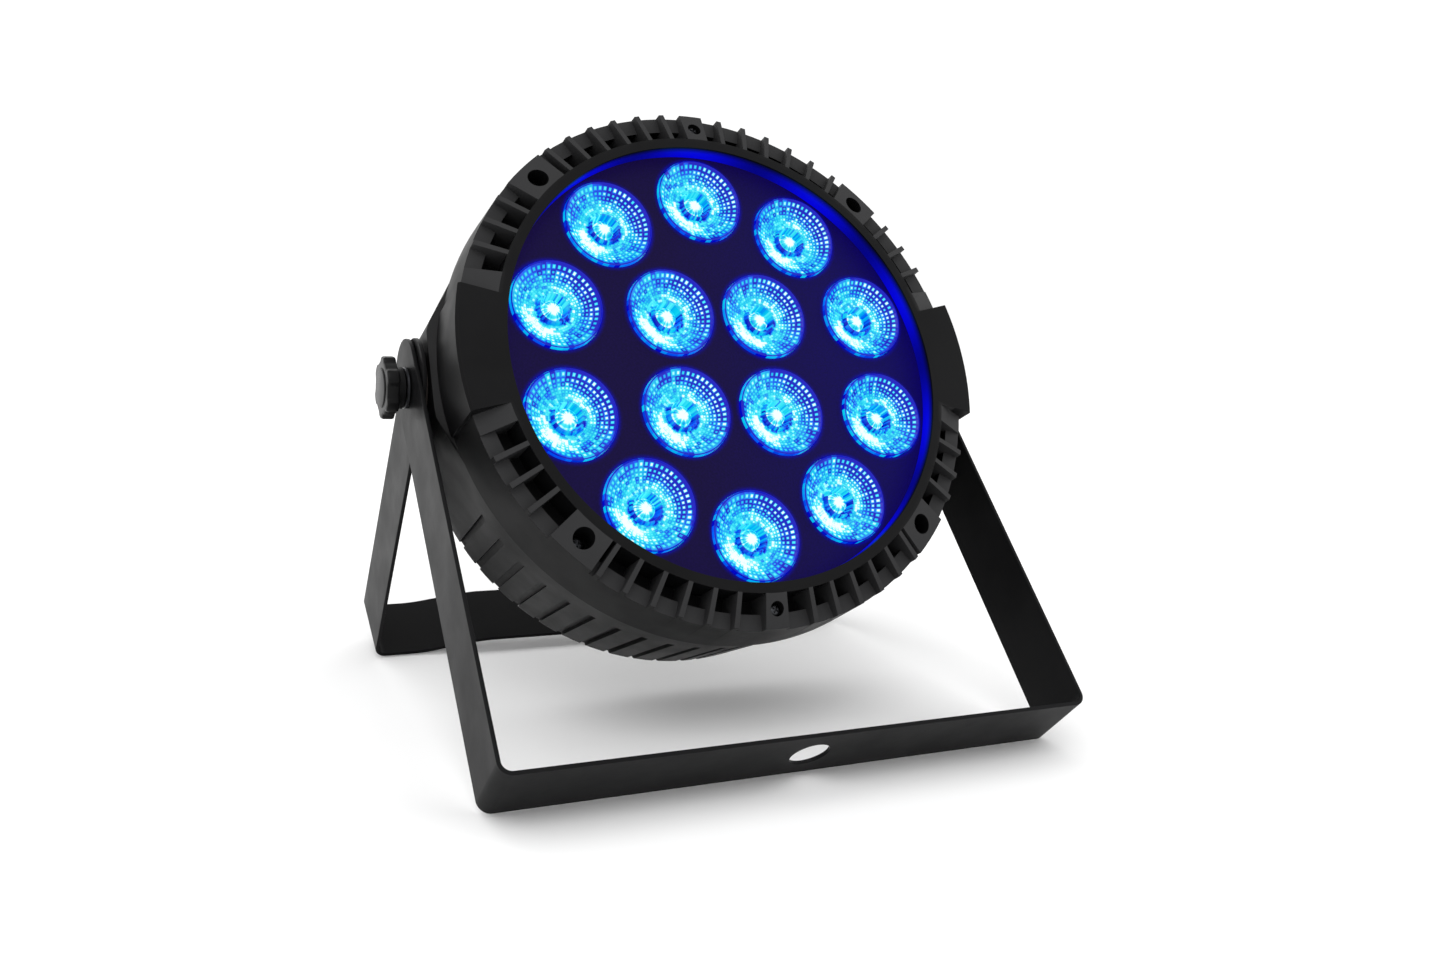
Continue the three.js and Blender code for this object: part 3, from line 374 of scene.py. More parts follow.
def turned(profile, segments=48):
    """Turned about Y from a profile of (radius, y): closed on itself, or open with both ends on the axis."""
    bm = bmesh.new()
    rings = []
    for radius, y in profile:
        if radius == 0:
            rings.append([bm.verts.new((0, y, 0))] * segments)
            continue
        angles = [i * TURN / segments for i in range(segments)]
        rings.append([bm.verts.new((radius * math.sin(a), y, radius * math.cos(a))) for a in angles])
    last = 0 if profile[0][0] == 0 else 1
    for k in range(len(rings) - 1 + last):
        near, far = rings[k], rings[(k + 1) % len(rings)]
        for i in range(segments):
            j = (i + 1) % segments
            corners = list(dict.fromkeys([near[i], near[j], far[j], far[i]]))
            if len(corners) > 2:
                bm.faces.new(corners)
    return mesh_of(bm, "turned")


def sunk(top, profile):
    """A profile of (radius, depth under top) in millimetres, as (radius, y) in metres."""
    return [(radius * MM, top - depth * MM) for radius, depth in profile]


def rounded_box(width, height, radius, x=0, z=0, steps=5):
    """A closed outline of (x, z) with rounded corners."""
    points = []
    for quarter, (sx, sz) in enumerate([(1, 1), (-1, 1), (-1, -1), (1, -1)]):
        for i in range(steps + 1):
            angle = (quarter + i / steps) * math.pi / 2
            px = sx * (width / 2 - radius) + radius * math.cos(angle)
            pz = sz * (height / 2 - radius) + radius * math.sin(angle)
            points.append((x + px, z + pz))
    return points


def circle(radius, x=0, z=0, steps=32):
    return [
        (x + radius * math.cos(i * TURN / steps), z + radius * math.sin(i * TURN / steps))
        for i in range(steps)
    ]


def cut_sheet(outline, holes, front, back, edge):
    """A sheet between two planes across Y, cut to an outline with holes, its edges rounded."""
    curve = bpy.data.curves.new("sheet", "CURVE")
    curve.dimensions = "2D"
    curve.fill_mode = "BOTH"
    curve.extrude = (back - front) / 2 - edge
    curve.bevel_depth = edge
    curve.bevel_resolution = 1
    curve.offset = -edge
    for loop, way in [(outline, 1)] + [(hole, -1) for hole in holes]:
        points = np.array(loop)
        ahead = np.roll(points, -1, axis=0)
        if way * np.sum(points[:, 0] * ahead[:, 1] - ahead[:, 0] * points[:, 1]) < 0:
            points = points[::-1]
        spline = curve.splines.new("POLY")
        spline.points.add(len(points) - 1)
        for point, (x, z) in zip(spline.points, points):
            point.co = (x, z, 0, 1)
        spline.use_cyclic_u = True
    obj = shown("sheet", curve)
    graph = bpy.context.evaluated_depsgraph_get()
    mesh = bpy.data.meshes.new_from_object(obj.evaluated_get(graph))
    bpy.data.objects.remove(obj)
    bm = opened(mesh)
    bmesh.ops.remove_doubles(bm, verts=bm.verts, dist=0.002 * MM)
    upright = Matrix.Translation((0, (front + back) / 2, 0)) @ Matrix.Rotation(math.pi / 2, 4, "X")
    bmesh.ops.transform(bm, matrix=upright, verts=bm.verts)
    return mesh_of(bm, "sheet")


def relief(us, vs, cell, place):
    """A closed mesh over a ring of columns. cell(i, j) gives the two heights of a cell as functions of
    (u, v) and its finish, or None where there is nothing. place(u, v, height) gives the point."""
    n = len(us)
    cells = [[cell(i, j) for j in range(len(vs) - 1)] for i in range(n)]

    def cell_at(i, j):
        return cells[i % n][j] if 0 <= j < len(vs) - 1 else None

    def heights(i, j, found):
        return [round(height(us[i % n], vs[j]), 8) for height in found[:2]]

    bm = bmesh.new()
    points, columns = {}, {}
    for i in range(n):
        for j in range(len(vs)):
            around = [cell_at(i + di, j + dj) for di in (-1, 0) for dj in (-1, 0)]
            columns[i, j] = sorted({h for found in around if found for h in heights(i, j, found)})

    def point(i, j, height):
        key = (i % n, j, height)
        if key not in points:
            points[key] = bm.verts.new(place(us[i % n], vs[j], height))
        return points[key]

    def face(corners, finish):
        corners = list(dict.fromkeys(corners))
        if len(corners) > 2:
            bm.faces.new(corners).material_index = finish

    def climb(i, j, start, end):
        between = [h for h in columns[i % n, j] if min(start, end) < h < max(start, end)]
        steps = [start, *(between if start < end else between[::-1]), end]
        return [point(i, j, h) for h in steps]

    def wall(a, b, starts, ends, finish):
        if starts != ends:
            face(climb(*a, starts[0], ends[0]) + climb(*b, ends[1], starts[1]), finish)

    for i in range(n):
        for j in range(len(vs)):
            here = cell_at(i, j)
            if here:
                ring = [(i, j), (i + 1, j), (i + 1, j + 1), (i, j + 1)]
                for level in (0, 1):
                    corners = [point(*c, heights(*c, here)[level]) for c in ring]
                    face(corners, here[2] if level == 0 else 0)
            edges = [(cell_at(i, j - 1), (i, j), (i + 1, j))]
            if j < len(vs) - 1:
                edges.append((cell_at(i - 1, j), (i, j), (i, j + 1)))
            for other, a, b in edges:
                both_sides = [found for found in (here, other) if found]
                spans = [[heights(*a, found), heights(*b, found)] for found in both_sides]
                if len(both_sides) == 2:
                    tallest = min(both_sides, key=lambda found: heights(*a, found)[0])
                    for level in (0, 1):
                        starts = [span[level] for span in spans[0]]
                        ends = [span[level] for span in spans[1]]
                        wall(a, b, starts, ends, tallest[3] if level == 0 else 0)
                elif both_sides:
                    starts = [span[0] for span in spans[0]]
                    ends = [span[1] for span in spans[0]]
                    wall(a, b, starts, ends, both_sides[0][4])
    return mesh_of(bm, "relief")


def filled(lines, step):
    """The lines in order, with more between them where they stand further apart than step."""
    lines = sorted(lines)
    full = []
    for here, after in zip(lines, lines[1:]):
        count = max(1, math.ceil((after - here) / step - 1e-6))
        full += [here + (after - here) * k / count for k in range(count)]
    return full


def piece(name, mesh, place, body, materials, slot, nodes=(), sharp=40):
    """A finished piece in its place, riding on its body and standing for its CAD nodes."""
    obj = shown(name, mesh)
    mesh.name = name
    mesh.polygons.foreach_set("use_smooth", [True] * len(mesh.polygons))
    mesh.set_sharp_from_angle(angle=math.radians(sharp))
    count = len(mesh.materials)
    for i, material in enumerate(materials):
        if i < count:
            mesh.materials[i] = material
        else:
            mesh.materials.append(material)
    obj.modifiers.new("normals", "WEIGHTED_NORMAL").keep_sharp = True
    obj.matrix_world = place
    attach(obj, body)
    if nodes:
        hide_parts(*nodes)
    return obj


# ---------------------------------------------------------------- materials


def add(tree, kind, links=(), **settings):
    """A shader node with its settings, and its inputs set or linked in order or by name. Gives its
    first output."""
    made = tree.nodes.new("ShaderNode" + kind)
    for key, value in settings.items():
        setattr(made, key, value)
    for key, value in links.items() if isinstance(links, dict) else enumerate(links):
        if isinstance(value, bpy.types.NodeSocket):
            tree.links.new(value, made.inputs[key])
        else:
            made.inputs[key].default_value = value
    return made.outputs[0]


def surface(name, **values):
    """A material with nothing but its Principled shader, set. Gives the material, its tree and the shader."""
    material = bpy.data.materials.get(name) or bpy.data.materials.new(name)
    material.use_nodes = True
    tree = material.node_tree
    shader = tree.nodes["Principled BSDF"]
    for node in list(tree.nodes):
        if node not in (shader, tree.nodes["Material Output"]):
            tree.nodes.remove(node)
    for key, value in values.items():
        shader.inputs[key.replace("_", " ").title().replace("Ior", "IOR")].default_value = value
    return material, tree, shader


def coordinates(tree):
    """The object coordinates, whole and as X, Y and Z."""
    spot = add(tree, "TexCoord").node.outputs["Object"]
    return spot, add(tree, "SeparateXYZ", [spot]).node.outputs


def reach_of(tree, x, z):
    """How far (x, z) lies from the axis."""
    squares = [add(tree, "Math", [side, 2.0], operation="POWER") for side in (x, z)]
    return add(tree, "Math", [add(tree, "Math", squares)], operation="SQRT")


def set_stops(ramp, levels):
    """Set a ramp's stops to levels of (place, colour)."""
    stops = ramp.node.color_ramp.elements
    while len(stops) < len(levels):
        stops.new(0.5)
    for stop, (place, colour) in zip(stops, levels):
        stop.position = min(1, max(0, place))
        stop.color = colour


def grained(name, colour, roughness, grain, depth, spread=0.07, mottle=0.25, cloud=18 * MM, **values):
    """A surface with a fine grain, clouded roughness and a slightly uneven colour."""
    material, tree, shader = surface(name, **values)
    spot = add(tree, "TexCoord").node.outputs["Object"]
    clouds = add(tree, "TexNoise", {"Vector": spot, "Scale": 1 / cloud, "Detail": 4.0})
    fine = add(tree, "TexNoise", {"Vector": spot, "Scale": 1 / grain, "Detail": 3.0, "Roughness": 0.6})
    light = [min(1, c * (1 + mottle) + 0.001) for c in colour[:3]] + [1]
    dark = [c * (1 - mottle) for c in colour[:3]] + [1]
    mixed = add(tree, "Mix", {0: clouds, 6: dark, 7: light}, data_type="RGBA").node.outputs[2]
    rough = add(tree, "MapRange", [clouds, 0.3, 0.7, roughness - spread, roughness + spread])
    bump = add(tree, "Bump", {"Height": fine, "Strength": 0.6, "Distance": depth})
    tree.links.new(mixed, shader.inputs["Base Color"])
    tree.links.new(rough, shader.inputs["Roughness"])
    tree.links.new(bump, shader.inputs["Normal"])
    return material


def colours():
    return bpy.context.scene.par_can_colours


def moulded(name, colour, roughness, grain, depth, gloss, ior=1.54, **values):
    """A grained plastic or paint, its grain and depth in millimetres and its reflections held low."""
    return grained(
        name, colour, roughness, grain * MM, depth * MM, ior=ior, specular_ior_level=gloss, **values
    )


def smooth_abs():
    # Injection-moulded black ABS from a polished tool: dark, with soft wide highlights.
    return moulded("Smooth moulded ABS", colours().moulding, 0.42, 0.9, 0.01, 0.07)


def sparked_abs():
    # Black ABS moulded against a spark-eroded tool: a paler, dry-looking grain.
    # The real grain is about 0.1 mm, drawn at 0.5 mm so that it shows.
    return moulded("Spark-textured moulded ABS", colours().moulding_light, 0.62, 0.5, 0.05, 0.15)


def housing_abs():
    # Black ABS with a fine even texture: matt, no sharp reflections.
    return moulded("Fine-textured moulded ABS", colours().moulding, 0.52, 0.7, 0.03, 0.16)


def powder_coat():
    # Satin powder coat on steel: a faint orange peel, about 1.5 mm from crest to crest.
    return moulded("Satin powder-coated steel", colours().paint, 0.4, 1.5, 0.03, 0.07, 1.5, spread=0.05)


def gloss_nylon():
    # Moulded nylon of knobs and sockets: a low sheen with clear highlights.
    return moulded("Satin moulded nylon", linear("0a0a0b"), 0.3, 0.8, 0.015, 0.1, 1.53)


def zinc_steel():
    # Bright zinc plate on turned steel: cool grey, fairly sharp reflections.
    return grained("Bright zinc-plated steel", linear("a9adb3"), 0.28, 0.6 * MM, 0.01 * MM, metallic=1.0)


def black_oxide():
    # Black oxide on steel screws: dark metal with a dull oily sheen.
    return grained("Black oxide steel", linear("3c3d40"), 0.36, 0.5 * MM, 0.01 * MM, metallic=1.0)


def nickel():
    # Satin nickel plate on die-cast sockets: warm grey, soft reflections.
    return grained("Satin nickel-plated zinc", linear("8f8d88"), 0.32, 0.5 * MM, 0.01 * MM, metallic=1.0)


def turned_brass():
    # Turned brass insert: yellow metal with a machined surface.
    return grained("Turned brass", linear("b8924e"), 0.3, 0.4 * MM, 0.01 * MM, metallic=1.0)


def extruded_aluminium():
    # Raw extruded aluminium: pale grey, drawn lines too fine to show.
    return grained("Extruded aluminium", linear("a6a8aa"), 0.45, 0.5 * MM, 0.02 * MM, metallic=1.0)


def pressed_fibre():
    # Pressed fibre friction washer: dark brown, dry and dull.
    return grained("Pressed fibre", linear("2b2521"), 0.85, 0.4 * MM, 0.06 * MM, ior=1.5)


def solder_mask(name, code):
    # Solder mask over fibreglass: an even gloss with faint tracks under it.
    return grained(name, linear(code), 0.35, 1.6 * MM, 0.03 * MM, ior=1.5)


def smoked_acrylic():
    # Smoked acrylic window: near black and glossy, with nothing lit behind it.
    return grained("Polished smoked acrylic", linear("07080b"), 0.08, 4 * MM, 0.004 * MM, spread=0.02, ior=1.49)


def painted_glow_plate():
    """The lens plate: black paint with a painted deep blue glow, and a brighter painted ring of glow close round
    each lens.
    """
    f = figures()
    # Matt black paint on steel, with painted light: an indigo emission stands in for the blue light from the
    # lenses, with a saturated painted ring of glow round every lens.
    material, tree, shader = surface(
        "Matt black plate with painted blue glow", base_color=linear("050308"), roughness=0.6, specular_ior_level=0.06
    )
    spot, parts = coordinates(tree)
    angle = add(tree, "Math", [parts["X"], parts["Z"]], operation="ARCTAN2")
    reach = reach_of(tree, parts["X"], parts["Z"])
    distances = []
    for count, ring, start in [(f.outer_lenses, f.outer_ring, 0), (f.inner_lenses, f.inner_ring, math.pi / 4)]:
        pitch = TURN / count
        shifted = add(tree, "Math", [angle, 2 * TURN + pitch / 2 - start])
        wrapped = add(tree, "Math", [shifted, pitch], operation="MODULO")
        local = add(tree, "Math", [wrapped, pitch / 2], operation="SUBTRACT")
        cosine = add(tree, "Math", [local], operation="COSINE")
        sine = add(tree, "Math", [local], operation="SINE")
        along = add(tree, "Math", [reach, cosine], operation="MULTIPLY")
        across = add(tree, "Math", [reach, sine], operation="MULTIPLY")
        ahead = add(tree, "Math", [along, ring], operation="SUBTRACT")
        distances.append(reach_of(tree, ahead, across))
    nearest = add(tree, "Math", distances, operation="MINIMUM")
    # Painted light: emission in a ring round each lens stands in for the blue light that spills onto the plate.
    painted_halo = add(tree, "MapRange", [nearest, f.lens_radius, f.lens_radius + 2.2 * MM, 1.0, 0.0])
    painted_halo = add(tree, "Math", [painted_halo, 2.2], operation="POWER")
    speck = add(tree, "TexNoise", {"Vector": spot, "Scale": 1 / (0.8 * MM), "Detail": 2.0})
    # Painted light: the emission grows brighter towards the far side of the plate, standing in for more of the
    # blue light falling there.
    side = add(tree, "MapRange", [parts["X"], -0.2 * f.plate, f.plate])
    wash_ends = {0: side, 6: colours().plate_painted_glow, 7: linear("06005c")}
    wash = add(tree, "Mix", wash_ends, data_type="RGBA").node.outputs[2]
    glow = add(tree, "Mix", {0: painted_halo, 6: wash, 7: linear("0402a0")}, data_type="RGBA").node.outputs[2]
    painted_glow_strength = add(tree, "MapRange", [speck, 0.3, 0.7, 0.75, 1.15])
    bump = add(tree, "Bump", {"Height": speck, "Strength": 0.5, "Distance": 0.03 * MM})
    tree.links.new(glow, shader.inputs["Emission Color"])
    tree.links.new(painted_glow_strength, shader.inputs["Emission Strength"])
    tree.links.new(bump, shader.inputs["Normal"])
    return material


def painted_glow_wall():
    """The wall of the bezel opening, with painted blue light from the outer lenses, drawn as emission."""
    f = figures()
    # Smooth black ABS with painted light: a saturated blue emission, standing in for light from the lenses, that
    # dies away towards the front lip.
    material, tree, shader = surface(
        "Moulded ABS with painted blue glow", base_color=linear("060608"), roughness=0.5, specular_ior_level=0.08
    )
    _, parts = coordinates(tree)
    depth = add(tree, "MapRange", [parts["Y"], f.ring_face + 0.6 * MM, f.ring_face + 4 * MM])
    # Painted light: the emission is brighter towards each outer lens, in a wave round the opening.
    angle = add(tree, "Math", [parts["X"], parts["Z"]], operation="ARCTAN2")
    many = add(tree, "Math", [angle, float(f.outer_lenses)], operation="MULTIPLY")
    wave = add(tree, "Math", [many], operation="COSINE")
    share = add(tree, "MapRange", [wave, -1.0, 1.0, 0.25, 0.8])
    painted_glow_strength = add(tree, "Math", [depth, share], operation="MULTIPLY")
    tree.links.new(painted_glow_strength, shader.inputs["Emission Strength"])
    shader.inputs["Emission Color"].default_value = colours().wall_painted_glow
    return material


def lit_lens():
    """A moulded acrylic optic, lit blue from behind, in its own round frame."""
    f = figures()
    # Clear polished acrylic over a blue diode: white-hot where the dish faces the diode, cyan over the
    # facets, deep blue in the joints between them.
    material, tree, shader = surface(
        "Lit moulded acrylic", base_color=linear("020818"), roughness=0.2, ior=1.49, specular_ior_level=0.25
    )
    _, parts = coordinates(tree)
    reach = reach_of(tree, parts["X"], parts["Z"])
    share = add(tree, "Math", [reach, f.lens_radius], operation="DIVIDE")
    angle = add(tree, "Math", [parts["Z"], parts["X"]], operation="ARCTAN2")
    # The facets: rings of blocks, with dark joints that are strongest towards the rim.
    outer, inner = LENS_DISH
    inward = add(tree, "MapRange", [share, outer, inner])
    ringed = add(tree, "Math", [inward, 1 / LENS_SPREAD], operation="POWER")
    ringed = add(tree, "Math", [ringed, float(LENS_RINGS)], operation="MULTIPLY")
    turned_by = add(tree, "Math", [angle, LENS_SECTORS / TURN], operation="MULTIPLY")
    cell = [add(tree, "Math", [value], operation="FLOOR") for value in (ringed, turned_by)]
    within = [add(tree, "Math", [value], operation="FRACT") for value in (ringed, turned_by)]
    off_middle = [add(tree, "Math", [value, 0.5], operation="SUBTRACT") for value in within]
    off_middle = [add(tree, "Math", [value], operation="ABSOLUTE") for value in off_middle]
    joint = add(tree, "Math", off_middle, operation="MAXIMUM")
    joint = add(tree, "MapRange", [joint, 0.16, 0.34])
    seed = add(tree, "ObjectInfo").node.outputs["Random"]
    key = add(tree, "CombineXYZ", [cell[0], cell[1], seed])
    random = add(tree, "TexWhiteNoise", {"Vector": key}).node.outputs["Value"]
    # The light gathers on the low left of the dish and, weaker, opposite. Two dark crescents hug the cup.
    lobes = {}
    for name, way, start, end in [
        ("near", 226, 0.5, 0.95),
        ("far", 30, 0.3, 0.95),
        ("dark_left", 205, 0.3, 0.9),
        ("dark_right", 318, 0.45, 0.95),
    ]:
        toward = add(tree, "Math", [angle, math.radians(way)], operation="SUBTRACT")
        aim = add(tree, "Math", [toward], operation="COSINE")
        lobes[name] = add(tree, "MapRange", [aim, start, end])
    black, white = (0, 0, 0, 1), (1, 1, 1, 1)
    bands = {}
    for name, start, top, fall, end in [
        ("crescent", 0.42, 0.50, 0.68, 0.94),
        ("arc", 0.38, 0.46, 0.58, 0.72),
        ("moat", 0.21, 0.25, 0.37, 0.42),
        ("dashes", 0.62, 0.76, 0.90, 0.93),
        ("rim", 0.945, 0.955, 0.97, 0.98),
        ("core", -0.2, -0.1, 0.08, 0.16),
        ("ring", 0.19, 0.21, 0.22, 0.24),
    ]:
        bands[name] = add(tree, "ValToRGB", [share])
        set_stops(bands[name], [(start, black), (top, white), (fall, white), (end, black)])
    terms = [
        (bands["crescent"], lobes["near"], 0.6),
        (bands["arc"], lobes["far"], 0.36),
        (bands["dashes"], lobes["far"], 0.35),
        (bands["core"], 1.0, 0.7),
        (bands["ring"], 1.0, 0.25),
        (bands["moat"], lobes["dark_left"], -0.45),
        (bands["moat"], lobes["dark_right"], -0.45),
        (bands["rim"], 1.0, -0.45),
    ]
    total = add(tree, "MapRange", {"Value": random, "To Min": 0.36, "To Max": 0.92})
    for band, way, weight in terms:
        lobe = add(tree, "Math", [band, way], operation="MULTIPLY")
        total = add(tree, "Math", [lobe, weight, total], operation="MULTIPLY_ADD")
    outward = add(tree, "MapRange", [share, 0.45, 0.8, 0.2, 1.35])
    shade = add(tree, "MapRange", {"Value": lobes["far"], "To Min": 0.5, "To Max": 1.4})
    deep = add(tree, "Math", [joint, outward], operation="MULTIPLY")
    deep = add(tree, "Math", [deep, shade], operation="MULTIPLY")
    total = add(tree, "Math", [deep, -0.62, total], operation="MULTIPLY_ADD")
    ramp = add(tree, "ValToRGB", [total])
    c = colours()
    pale = linear("50f4fc")
    levels = [(0.0, c.light_deep), (0.2, c.light_mid), (0.5, c.light_cyan), (0.78, pale), (1.05, c.light_white)]
    set_stops(ramp, levels)
    tree.links.new(ramp, shader.inputs["Emission Color"])
    shader.inputs["Emission Strength"].default_value = 1.0
    return material


# ---------------------------------------------------------------- front of the head

LENS_SECTORS = 48
LENS_RINGS = 8
LENS_SPREAD = 0.72  # below 1, the rings of facets grow wider towards the rim
LENS_DISH = (0.95, 0.36)  # the faceted dish, from rim to cup, as shares of the lens radius
FACET_HEIGHT = 0.22 * MM
LENS_BACK = 12 * MM  # depth of an optic behind its rim


def lens_mesh(f):
    """One optic: a thin rim, a dish of small raised facets, and a cup with a domed bead."""
    radius = f.lens_radius - f.gap
    outer, inner = (share * f.lens_radius for share in LENS_DISH)
    # Each point is (radius, depth), and the rim's face is just behind depth 0.
    back = [(0, LENS_BACK), (radius * 0.5, LENS_BACK)]
    rim = [(radius, 4 * MM), (radius, 0.5 * MM), (radius - 0.5 * MM, 0.05 * MM), (outer + 0.35 * MM, 0.05 * MM)]
    dish = []
    for k in range(LENS_RINGS + 1):
        t = (k / LENS_RINGS) ** LENS_SPREAD
        dish.append((outer + (inner - outer) * t, 0.5 * MM + f.lens_dish * math.sin(t * math.pi / 2)))
    floor = dish[-1][1]
    lip, trough = floor - 1.6 * MM, floor + 2.5 * MM
    cup = [(inner - 0.5 * MM, lip), (inner - 1.1 * MM, lip), (inner - 1.6 * MM, trough)]
    for share, sunken in [(0.23, 2.5), (0.22, 0.8), (0.18, -0.1), (0.1, -0.7), (0, -0.9)]:
        cup.append((share * f.lens_radius, floor + sunken * MM))
    bm = opened(turned(back + rim + dish + cup, LENS_SECTORS))
    dished = []
    for face in bm.faces:
        x, y, z = face.calc_center_median()
        if inner < math.hypot(x, z) < outer and y < floor + 0.1 * MM:
            dished.append(face)
    bmesh.ops.poke(bm, faces=dished, offset=FACET_HEIGHT)
    return written(bm, "lens")


def bezel_mesh(f):
    """The moulded front ring: a plain lip, deep pockets between ribs, pads, shoulders and tabs."""
    middle = (f.ring + f.rim) / 2
    spans = []
    kinds = [(RIBS, f.rib_width, "rib"), (PADS, f.pad_width, "pad"), (STEPS, f.tab_width, "step")]
    for angles, width, kind in kinds:
        half = math.degrees(width / 2 / middle)
        spans += [(angle - half, angle + half, kind) for angle in both(angles)]
    half = math.degrees(f.tab_width / 2 / middle)
    spans += [(-half, half, "tab"), (180 - half, 180 + half, "tab"), (-180 - half, -180 + half, "tab")]
    spans += [(SHOULDER[0], SHOULDER[1], "shoulder"), (-SHOULDER[1], -SHOULDER[0], "shoulder")]
    edges = {-180.0, 180.0}
    for start, end, _ in spans:
        edges |= {edge for edge in (start, end) if -180 < edge < 180}
    lines = filled(edges, BEZEL_STEP)
    us = [math.radians(line) for line in lines]
    chamfer = 0.9 * MM
    vs = [f.opening, f.plate + f.gap, f.ring, f.pocket]
    vs += [f.rim - f.bezel_wall, f.rim, f.shoulder - chamfer, f.shoulder]
    ring_top = lambda u, v: f.ring_face
    ledge = lambda u, v: f.plate_setback - f.gap
    inside = lambda u, v: f.bezel_inside
    back = lambda u, v: f.parting
    fallen = lambda u, v: f.ring_face + f.rim_slope * (v - f.ring) / f.rim_width
    stepped = lambda u, v: f.ring_face + f.step_slope * (v - f.ring) / f.rim_width
    pocket = lambda u, v: f.pocket_floor
    shelf = lambda u, v: 0.0
    edge = lambda u, v: f.ring_face + max(0, v - f.shoulder + chamfer)
    # Finishes: smooth and textured moulding, and the opening's wall with its painted blue glow.
    smooth, textured, lit = 0, 1, 2

    def kind_at(i):
        here = lines[i]
        after = lines[i + 1] if i + 1 < len(lines) else 180
        mid = (here + after) / 2
        kinds = [kind for start, end, kind in spans if start < mid < end]
        return "shoulder" if "shoulder" in kinds else (kinds or ["cell"])[0]

    def cell(i, j):
        kind = kind_at(i)
        bottom = [ledge, inside, inside, inside, back, back, back][j]
        if j < 2:
            return ring_top, bottom, smooth, smooth, lit if j == 0 else smooth
        if kind == "shoulder":
            return (edge if j > 4 else ring_top), bottom, smooth, smooth, smooth
        if j > 4:
            return None
        if kind == "cell":
            return (pocket if j == 2 else shelf), bottom, smooth if j == 2 else textured, smooth, smooth
        return (stepped if kind == "step" else fallen), bottom, textured, textured, smooth

    def place(u, v, y):
        drafted = v + f.skirt_draft * max(0, y) / f.parting if v == f.rim else v
        return drafted * math.sin(u), y, drafted * math.cos(u)

    made = relief(us, vs, cell, place)
    wells = []
    ahead = f.ring_face - MM
    for kind, angles, floor, sides in [("pad", both(PADS), f.pad_seat, 32), ("small", TABS, f.tab_seat, 24)]:
        reach = SCREWS[kind].well
        for angle in angles:
            x, z = polar(f.pad_screw, angle)
            well = turned([(0, ahead), (reach, ahead), (reach, floor), (0, floor)], sides)
            wells.append(moved(well, x, 0, z))
    return cut_by(softened(made, 0.4 * MM), *wells)


def screw_mesh(kind):
    """A pan-head screw with a cross recess, its head towards -Y."""
    made = SCREWS[kind]
    head, height, shank = made.head, made.height, made.shank
    dome = [(0, -height), (head * 0.55, -height * 0.97), (head * 0.85, -height * 0.75), (head, -height * 0.35)]
    body = turned([*dome, (head, 0), (shank, 0), (shank, made.length), (0, made.length + shank)], 32)
    arms = (2 * head * 0.55, 0.3 * head)
    slots = [
        cut_sheet(rounded_box(*sides, 0.05 * head), [], -height - MM, -height * 0.4, 0.02 * head)
        for sides in (arms, arms[::-1])
    ]
    return cut_by(body, *slots)


def screw_row(f, kind, node, slot, ring, angles, seat, turns, flip=0):
    """Like screws in a ring on the head, each turned in its seat by its own angle."""
    mesh = screw_mesh(kind)
    for i, (angle, turn) in enumerate(zip(angles, turns)):
        x, z = polar(ring, angle)
        spin = Matrix.Rotation(flip, 4, "Z") @ Matrix.Rotation(math.radians(turn), 4, "Y")
        place = head_frame(f) @ Matrix.Translation((x, seat, z)) @ spin
        finish = [black_oxide()]
        piece(f"{kind}_screw_{i + 1}", mesh.copy(), place, "head", finish, slot, [f"{node}_{i + 1}"])


# ---------------------------------------------------------------- rear of the head


def outline_radius(angles, circles):
    """How far the tight outline round some circles (x, z, radius) stands out at each angle from the top."""
    ways = np.linspace(0, TURN, 1440, endpoint=False)  # four to a degree
    slant, far = 0.3, 9.0  # tangents that slant more than this are passed over as far away
    support = np.max([x * np.sin(ways) + z * np.cos(ways) + r for x, z, r in circles], axis=0)
    cosines = np.cos(ways[None, :] - np.array(angles)[:, None])
    return np.where(cosines > slant, support[None, :] / np.maximum(cosines, slant), far).min(axis=1)


